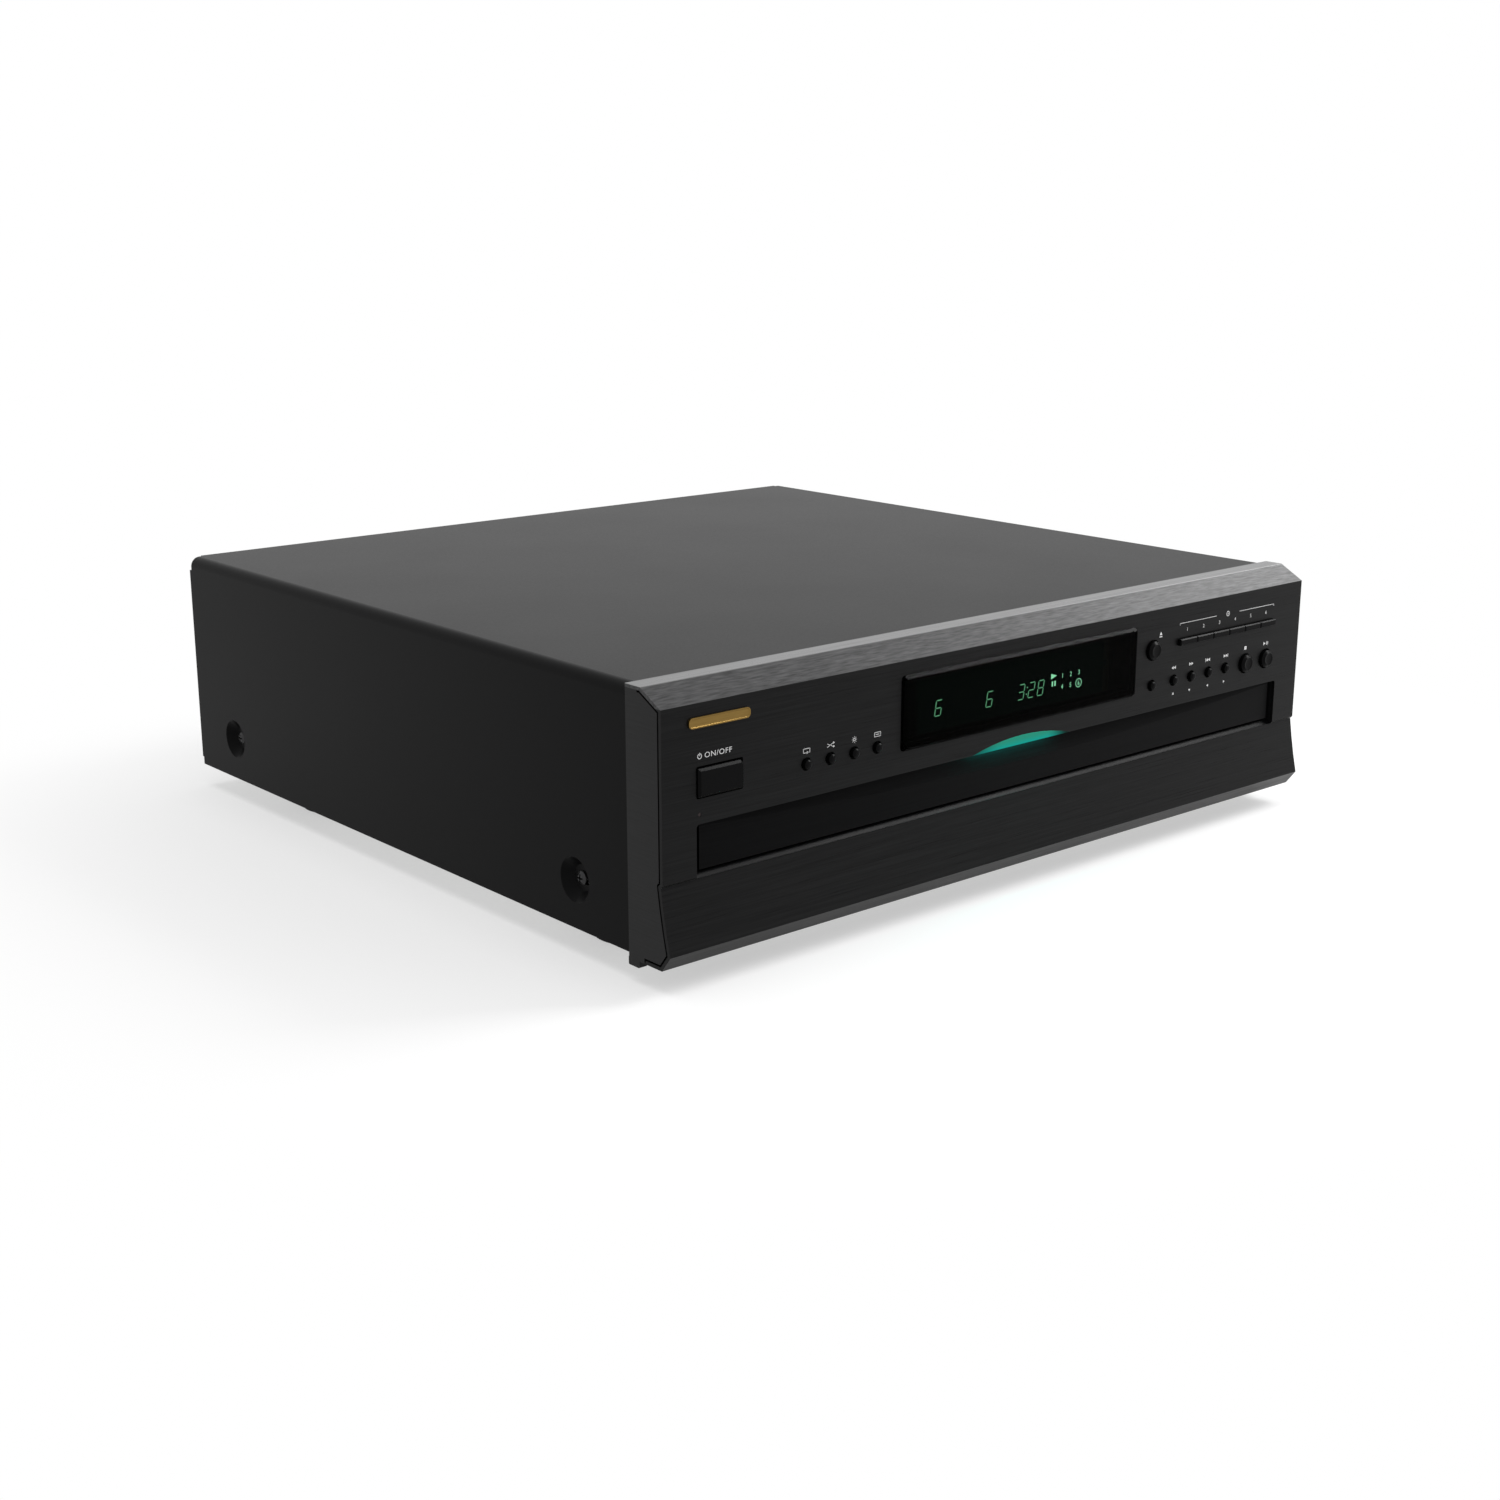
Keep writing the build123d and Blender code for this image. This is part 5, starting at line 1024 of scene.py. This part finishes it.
@dataclass
class Display(Assembly):
    """Lit digits and marks on the tube behind the window.

    The places of the digits, the colon, the disc numbers and the pause mark are in millimetres.
    """

    digit_h: float = 7.2 * MM
    digit_w: float = 3.8 * MM
    stroke: float = 0.38 * MM
    lean: float = 0.17
    tube: Surface = field(default_factory=lambda: Surface(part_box("display_tube")[0].y))
    digits: tuple[tuple[str, float, float], ...] = (
        ("6", -51.4, 95.5), ("6", -17.3, 94.2), ("3", 4.7, 94.1), ("2", 11.8, 94.1), ("8", 18.3, 94.1))
    lit: dict[str, str] = field(default_factory=lambda: {
        "2": "abged", "3": "abgcd", "6": "acdefg", "8": "abcdefg"})
    colon: tuple[Pair, ...] = ((8.9, 95.7), (8.3, 92.5))
    dot: float = 0.34 * MM
    number_h: float = 2.3 * MM
    number_xs: tuple[float, ...] = (33.9, 39.9, 45.9)
    number_zs: tuple[float, ...] = (97.7, 92.3)
    play_x: float = 27.0 * MM
    play_z: float = 98.4 * MM
    play_size: Vector = field(default_factory=lambda: Vector((4.2 * MM, 2.7 * MM)))
    pause_xs: Pair = (26.7, 28.6)
    pause_zs: Pair = (93.4, 95.9)
    pause_width: float = 0.95 * MM
    chosen_outer: float = 2.25 * MM
    chosen_inner: float = 1.9 * MM

    def build(self) -> None:
        """Model all that is lit."""
        pieces = [segment for text, x, z in self.digits for segment in self._digit(text, x * MM, z * MM)]
        for x, z in self.colon:
            pieces.append(plate("dot", x * MM, z * MM, 12, self.dot, 0, self.tube))
        self.hand_over(join("display_digits", pieces), "segment_green", "display_glass")
        self.hand_over(join("display_marks", self._marks()), "mark_green", "display_glass")

    def _digit(self, text: str, x: float, z: float) -> list[Piece]:
        """Model one leaning seven-segment digit.

        Args:
            text: The digit.
            x: Its middle, across.
            z: Its middle, up.

        Returns:
            Its segments.
        """
        half_w, half_h = self.digit_w / 2, self.digit_h / 2
        gap = self.stroke * 0.8
        spans = {
            "a": ((-half_w + gap, half_h), (half_w - gap, half_h)),
            "b": ((half_w, half_h - gap), (half_w, gap)),
            "c": ((half_w, -gap), (half_w, -half_h + gap)),
            "d": ((-half_w + gap, -half_h), (half_w - gap, -half_h)),
            "e": ((-half_w, -gap), (-half_w, -half_h + gap)),
            "f": ((-half_w, half_h - gap), (-half_w, gap)),
            "g": ((-half_w + gap, 0.0), (half_w - gap, 0.0)),
        }
        pieces = []
        for part in self.lit[text]:
            ends = [(x + u + v * self.lean, z + v) for u, v in spans[part]]
            pieces.append(bar("segment", ends[0], ends[1], self.stroke, self.tube))
        return pieces

    def _marks(self) -> list[Piece]:
        """Model the play and pause marks and the disc numbers with a ring round the last.

        Returns:
            The marks.
        """
        triangle = plate("play_mark", self.play_x, self.play_z, 3, self.play_size.y / 1.732, 0, self.tube)
        pick(triangle, lambda face: True)
        wide = self.play_size.x / (self.play_size.y * 0.866)
        middle = (self.play_x, self.tube.y, self.play_z)
        bpy.ops.transform.resize(value=(wide, 1, 1), center_override=middle)
        finish_edit()
        pieces = [triangle]
        for x in self.pause_xs:
            foot, head = ((x * MM, z * MM) for z in self.pause_zs)
            pieces.append(bar("pause_mark", foot, head, self.pause_width, self.tube))
        for index in range(6):
            x, z = self.number_xs[index % 3] * MM, self.number_zs[index // 3] * MM
            pieces.append(front_words("disc_number", str(index + 1), x, z, self.number_h, self.tube, 0.9))
        last_x, last_z = self.number_xs[-1] * MM, self.number_zs[-1] * MM
        pieces.append(ring("chosen_disc", last_x, last_z, self.chosen_outer, self.chosen_inner, self.tube))
        return pieces


@dataclass
class Print(Assembly):
    """White marks printed on the front. All its places, sizes and strokes are in millimetres."""

    stroke: float = 0.32
    fine: float = 0.24
    power_sign: Pair = (-197.4, 100.1)
    power_ring: Pair = (1.2, 0.88)
    power_words: Pair = (-187.4, 100.2)
    words_h: float = 2.3
    number_h: float = 1.8
    key_x: float = 121.4
    key_step: float = 13.16
    key_z: float = 109.5
    line_z: float = 113.1
    lines: tuple[Pair, ...] = ((115.3, 144.9), (193.6, 164.1))
    tick: float = 1.0
    disc_x: float = 154.5
    disc_rings: tuple[Pair, ...] = ((1.35, 1.05), (0.45, 0.22))
    eject: Pair = (100.3, 109.9)
    search_row: tuple[tuple[float, float, bool], ...] = (
        (112.2, pi, False), (125.9, 0.0, False), (140.1, pi, True), (154.3, 0.0, True))
    search_z: float = 90.9
    stop_x: float = 171.2
    play_x: float = 187.4
    stop_z: float = 92.6
    arrow_row: tuple[Pair, ...] = ((112.4, pi / 2), (125.6, -pi / 2), (140.6, pi), (154.0, 0.0))
    arrow_z: float = 77.3
    left_xs: tuple[float, ...] = (-138.1, -124.0, -109.9, -95.8)
    left_z: float = 92.0

    def build(self) -> None:
        """Model all the printed marks."""
        white = self._power_mark() + self._disc_row() + self._transport() + self._arrows() + self._left_row()
        self.hand_over(join("front_print", white), "print_white", "brushed_black")

    def _line(self, start: Pair, end: Pair, width: float) -> Piece:
        """Print a line."""
        return bar("line", (start[0] * MM, start[1] * MM), (end[0] * MM, end[1] * MM), width * MM)

    def _arrow(self, x: float, z: float, turn: float, radius: float = 1.0) -> Piece:
        """Print an arrowhead that points along `turn`, which is counted from +X."""
        return plate("arrow", x * MM, z * MM, 3, radius * MM, turn)

    def _circle(self, x: float, z: float, outer: float, inner: float) -> Piece:
        """Print a ring."""
        return ring("circle", x * MM, z * MM, outer * MM, inner * MM, steps=32)

    def _oblong(self, x: float, z: float, half: Pair, step: float) -> list[Piece]:
        """Print an oblong of four lines, level one first and upright one second, low side before high.

        Args:
            x: Middle, across.
            z: Middle, up.
            half: Half the length of the level lines, and how far out the upright ones are.
            step: Half its height.

        Returns:
            The lines.
        """
        pieces = []
        for way in (-1, 1):
            level, side = z + way * step, x + way * half[1]
            pieces.append(self._line((x - half[0], level), (x + half[0], level), self.fine))
            pieces.append(self._line((side, z - step), (side, z + step), self.fine))
        return pieces

    def _power_mark(self) -> list[Piece]:
        """Print the power sign and ON/OFF over the power key.

        Returns:
            The marks.
        """
        x, z = self.power_sign
        words_x, words_z, height = (value * MM for value in (*self.power_words, self.words_h))
        label = front_words("power_words", "ON/OFF", words_x, words_z, height, FACE, 1.15, 1.12)
        stem = self._line((x, z + 0.1), (x, z + 1.5), self.stroke)
        return [self._circle(x, z, *self.power_ring), stem, label]

    def _disc_row(self) -> list[Piece]:
        """Print the numbers over the disc keys, and a disc between two lines with ticks.

        Returns:
            The marks.
        """
        pieces = []
        for index in range(6):
            x = (self.key_x + self.key_step * index) * MM
            pieces.append(front_words("key_number", str(index + 1), x, self.key_z * MM, self.number_h * MM))
        for outer, inner in self.lines:
            for end in ((inner, self.line_z), (outer, self.line_z - self.tick)):
                pieces.append(self._line((outer, self.line_z), end, self.fine))
        for rim, hole in self.disc_rings:
            pieces.append(self._circle(self.disc_x, self.line_z, rim, hole))
        return pieces

    def _transport(self) -> list[Piece]:
        """Print the eject, search, skip, stop and play signs.

        Returns:
            The marks.
        """
        x, z = self.eject
        pieces = [self._arrow(x, z, pi / 2, 1.2), self._line((x - 1.1, z - 1.4), (x + 1.1, z - 1.4), 0.5)]
        z = self.search_z
        for x, turn, stopped in self.search_row:
            for shift in (-0.85, 0.85):
                pieces.append(self._arrow(x + shift, z, turn))
            if stopped:
                side = x + (2.1 if turn == 0 else -2.1)
                pieces.append(self._line((side, z - 0.9), (side, z + 0.9), 0.4))
        z = self.stop_z
        pieces.append(self._line((self.stop_x - 0.9, z), (self.stop_x + 0.9, z), 1.8))
        pieces.append(self._arrow(self.play_x, z, 0.0, 1.1))
        for step in (2.1, 3.1):
            x = self.play_x + step
            pieces.append(self._line((x, z - 0.9), (x, z + 0.9), 0.45))
        return pieces

    def _arrows(self) -> list[Piece]:
        """Print the small arrows under the search and skip buttons."""
        return [self._arrow(x, self.arrow_z, turn, 0.85) for x, turn in self.arrow_row]

    def _left_row(self) -> list[Piece]:
        """Print the plain signs over the left buttons: loop, crossing arrows, lamp and screen.

        Returns:
            The marks.
        """
        loop_x, cross_x, lamp_x, screen_x = self.left_xs
        z = self.left_z
        pieces = self._oblong(loop_x, z, (1.9, 1.89), 0.9)
        pieces.append(self._arrow(loop_x + 0.5, z - 0.9, 0.0, 0.75))
        for way in (-1, 1):
            ends = (cross_x - 2.0, z - way * 0.8), (cross_x + 1.4, z + way * 0.8)
            pieces.append(self._line(*ends, self.fine))
            pieces.append(self._arrow(cross_x + 1.8, z + way * 0.85, 0.0, 0.65))
        pieces.append(self._circle(lamp_x, z, 0.72, 0.44))
        for ray in range(8):
            u, v = cos(ray * pi / 4), sin(ray * pi / 4)
            ends = (lamp_x + u, z + v), (lamp_x + u * 1.5, z + v * 1.5)
            pieces.append(self._line(*ends, self.fine * 0.8))
        pieces += self._oblong(screen_x, z, (1.9, 1.9), 0.95)
        pieces.append(self._line((screen_x - 1.1, z), (screen_x + 1.1, z), self.fine))
        return pieces


@dataclass
class Sensor(Assembly):
    """Remote sensor eye behind the right end of the window.

    Each of dome_steps goes inwards by a share of the radius and outwards by a number of millimetres.
    """

    x: float = 73.6 * MM
    z: float = 100.6 * MM
    radius: float = 3.0 * MM
    depth: float = 1.6 * MM
    bevel: float = 0.4 * MM
    gap: float = 0.1 * MM
    dome_share: float = 0.72
    dome_steps: tuple[Pair, ...] = ((0.13, 0.55), (0.15, 0.4), (0.18, 0.2))

    def build(self) -> None:
        """Model the eye: a low dome on a square block."""
        front = Surface(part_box("display_tube")[0].y - self.depth)
        low = (self.x - self.radius, front.y, self.z - self.radius)
        high = (self.x + self.radius, front.y + self.depth - self.gap, self.z + self.radius)
        base = block("sensor_block", low, high, self.bevel)
        dome = plate("sensor_dome", self.x, self.z, 40, self.radius * self.dome_share, 0, front, 0.2 * MM)
        pick(dome, lambda face: face.normal.y < -0.9)
        for step, rise in self.dome_steps:
            bpy.ops.mesh.inset(thickness=self.radius * step, depth=rise * MM)
        finish_edit()
        self.hand_over(join("remote_sensor", [base, dome]), "sensor_dark", "display_glass", 30)


@dataclass
class JackInserts(Assembly):
    """Coloured insulators in the three phono sockets, at xs in millimetres, and the optical one's shutter."""

    xs: tuple[float, ...] = (-82.0, -98.0, -114.0)
    colours: tuple[str, ...] = ("jack_white", "jack_red", "jack_orange")
    z: float = 34.0 * MM
    outer: float = 3.5 * MM
    inner: float = 1.75 * MM
    seat: float = 0.6 * MM
    rise: float = 0.35 * MM
    optical_x: float = -130.0 * MM
    optical_y: float = 207.8 * MM
    shutter: float = 3.1 * MM
    frame: float = 0.5 * MM
    slope: float = 0.25 * MM
    sink: float = 0.3 * MM

    def build(self) -> None:
        """Model one ring in each phono socket, and the shutter."""
        mouth = Surface(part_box("rear_jacks")[1].y - self.seat, 1)
        for x, colour in zip(self.xs, self.colours):
            insert = ring(f"{colour}_ring", x * MM, self.z, self.outer, self.inner, mouth, self.rise)
            self.hand_over(insert, colour, "jack_metal", 30)
        face = Vector((self.optical_x, self.optical_y, self.z))
        low = face - Vector((self.shutter, self.sink, self.shutter))
        door = block("optical_shutter", low, face + Vector((self.shutter, self.rise, self.shutter)))
        pick(door, lambda part: part.normal.y > 0.9)
        bpy.ops.mesh.inset(thickness=self.frame)
        bpy.ops.mesh.inset(thickness=self.slope, depth=-self.sink)
        finish_edit()
        self.hand_over(door, "shutter_black", "jack_metal")


@dataclass
class CarouselMarks(Assembly):
    """Plain numbers printed on the carousel's deck between the wells, upright from outside."""

    count: int = 6
    radius: float = 168.0 * MM
    height: float = 7.0 * MM

    def build(self) -> None:
        """Print the numbers, each with its head towards the hub."""
        deck_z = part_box("carousel")[1].z
        low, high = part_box("carousel_cap")
        hub = (low + high) / 2
        marks = []
        for index in range(self.count):
            angle = 2 * pi * index / self.count
            place = (hub.x + self.radius * cos(angle), hub.y + self.radius * sin(angle), deck_z)
            marks.append(words("well_number", str(index + 1), place, self.height, (0, 0, angle + pi / 2)))
        self.hand_over(join("well_numbers", marks), "print_grey", "carousel_black", body="carousel")


# Studio

def hang_light(name: str, kind: str, power: float, way: Vector, place: Iterable[float] = (0, 0, 0)
               ) -> bpy.types.Light:
    """Hang a light.

    Args:
        name: Its name.
        kind: Blender's name of its kind.
        power: Its strength.
        way: Where it shines.
        place: Where it hangs.

    Returns:
        The light's data.
    """
    data = bpy.data.lights.new(name, kind)
    data.energy = power
    lamp = bpy.data.objects.new(name, data)
    lamp.matrix_world = Matrix.Translation(place) @ way.to_track_quat("-Z", "Y").to_matrix().to_4x4()
    bpy.context.scene.collection.objects.link(lamp)
    return data


@dataclass(frozen=True)
class AreaLamp:
    """One soft lamp, its places and sizes in metres and its power in watts."""

    name: str
    place: Triple
    aim: Triple
    size: Pair
    power: float

    def build(self) -> None:
        """Hang the lamp, turned to what it lights."""
        data = hang_light(self.name, "AREA", self.power, Vector(self.aim) - Vector(self.place), self.place)
        data.shape = "RECTANGLE"
        data.size, data.size_y = self.size


@dataclass
class Studio:
    """Floor, lights, background and the photograph's camera."""

    eye: Triple = (-0.71885, -0.84833, 0.32731)
    ahead: Triple = (0.6290, 0.7315, -0.2629)
    up: Triple = (0.1714, 0.1993, 0.9648)
    lens: float = 50.0
    floor_size: float = 60.0
    floor_seen: Colour = (0.95, 0.95, 0.95)
    floor_unseen: Colour = (0.4, 0.4, 0.4)
    white_from: float = 0.25
    white_to: float = 0.52
    sun_way: Triple = (0.10, -0.06, -0.99)
    sun_power: float = 1.1
    sun_angle: float = 40.0
    sky: float = 0.45
    lamps: tuple[AreaLamp, ...] = (
        AreaLamp("front_right", (1.00, -0.60, 1.00), (0.18, -0.21, 0.09), (0.5, 0.6), 16.0),
        AreaLamp("right", (1.17, -0.08, 0.80), (0.20, -0.20, 0.12), (0.5, 0.6), 2.8))

    def build(self) -> None:
        """Set all of it up."""
        self._camera()
        self._background()
        self._floor()
        sun = hang_light("overhead", "SUN", self.sun_power, Vector(self.sun_way))
        sun.angle = radians(self.sun_angle)
        for lamp in self.lamps:
            lamp.build()
        bpy.context.scene.view_settings.view_transform = "Standard"

    def _camera(self) -> None:
        """Place the camera where the photograph was taken from."""
        ahead = Vector(self.ahead).normalized()
        side = ahead.cross(Vector(self.up)).normalized()
        up = side.cross(ahead)
        data = bpy.data.cameras.new("camera")
        data.lens = self.lens
        data.sensor_width = 36.0
        data.clip_start = 0.01
        camera = bpy.data.objects.new("camera", data)
        basis = Matrix((side, up, -ahead)).transposed().to_4x4()
        camera.matrix_world = Matrix.Translation(self.eye) @ basis
        bpy.context.scene.collection.objects.link(camera)
        bpy.context.scene.camera = camera

    def _seen(self, tree: Tree) -> Socket:
        """Say whether the eye, gloss or glass looks at this surface.

        Args:
            tree: Tree to add to.

        Returns:
            Socket that is 1 for such a ray and 0 for light on its way to the object.
        """
        path = tree.nodes.new("ShaderNodeLightPath")
        shiny = math_node(tree, "MAXIMUM", path.outputs["Is Glossy Ray"], path.outputs["Is Transmission Ray"])
        return math_node(tree, "MAXIMUM", path.outputs["Is Camera Ray"], shiny)

    def _blend(self, tree: Tree, factor: Socket, shaders: tuple[Node, Node], output: str) -> None:
        """Show a blend of two shaders.

        Args:
            tree: Tree to add to.
            factor: Socket from 0, the first shader, to 1, the second.
            shaders: The two shaders.
            output: Name of the tree's output node.
        """
        mix = tree.nodes.new("ShaderNodeMixShader")
        tree.links.new(factor, mix.inputs["Fac"])
        for index, shader in enumerate(shaders, 1):
            tree.links.new(shader.outputs[0], mix.inputs[index])
        tree.links.new(mix.outputs[0], tree.nodes[output].inputs["Surface"])

    def _background(self) -> None:
        """White where the eye, gloss or glass looks at it, and a soft light otherwise."""
        world = bpy.data.worlds.new("world")
        bpy.context.scene.world = world
        world.use_nodes = True
        tree = world.node_tree
        light = tree.nodes["Background"]
        white = tree.nodes.new("ShaderNodeBackground")
        for shader, strength in ((light, self.sky), (white, 1.0)):
            shader.inputs["Color"].default_value = (1, 1, 1, 1)
            shader.inputs["Strength"].default_value = strength
        self._blend(tree, self._seen(tree), (light, white), "World Output")

    def _floor(self) -> None:
        """Pale floor that keeps the shadow near the object and runs into the white background."""
        deselect()
        bpy.ops.mesh.primitive_plane_add(size=self.floor_size, location=(0, 0, 0))
        floor = settle("floor")
        material, tree, shader = start_material("pale_floor")
        seen = self._seen(tree)
        colour = mix_colour(tree, seen, self.floor_unseen, self.floor_seen)
        tree.links.new(colour, shader.inputs["Base Color"])
        shader.inputs["Roughness"].default_value = 0.9
        shader.inputs["Specular IOR Level"].default_value = 0.1
        place = tree.nodes.new("ShaderNodeTexCoord")
        far = tree.nodes.new("ShaderNodeVectorMath")
        far.operation = "LENGTH"
        tree.links.new(place.outputs["Object"], far.inputs[0])
        away = ramp(tree, far.outputs["Value"], (self.white_from, 0.5), (self.white_to, 1.0), True)
        white = tree.nodes.new("ShaderNodeEmission")
        self._blend(tree, math_node(tree, "MULTIPLY", away, seen), (shader, white), "Material Output")
        floor.data.materials.append(material)


def main() -> None:
    """Dress the frame, add the pieces and set up the studio."""
    logging.basicConfig(level=logging.INFO, format="%(name)s: %(message)s")
    Studio().build()
    paint = Paintbox()
    paint.dress_cad()
    for assembly in (Badge, WindowHood, Display, Print, Sensor, JackInserts, CarouselMarks):
        LOG.info("building %s", assembly.__name__)
        assembly(paint).build()
    deselect()


if __name__ == "__main__":
    main()
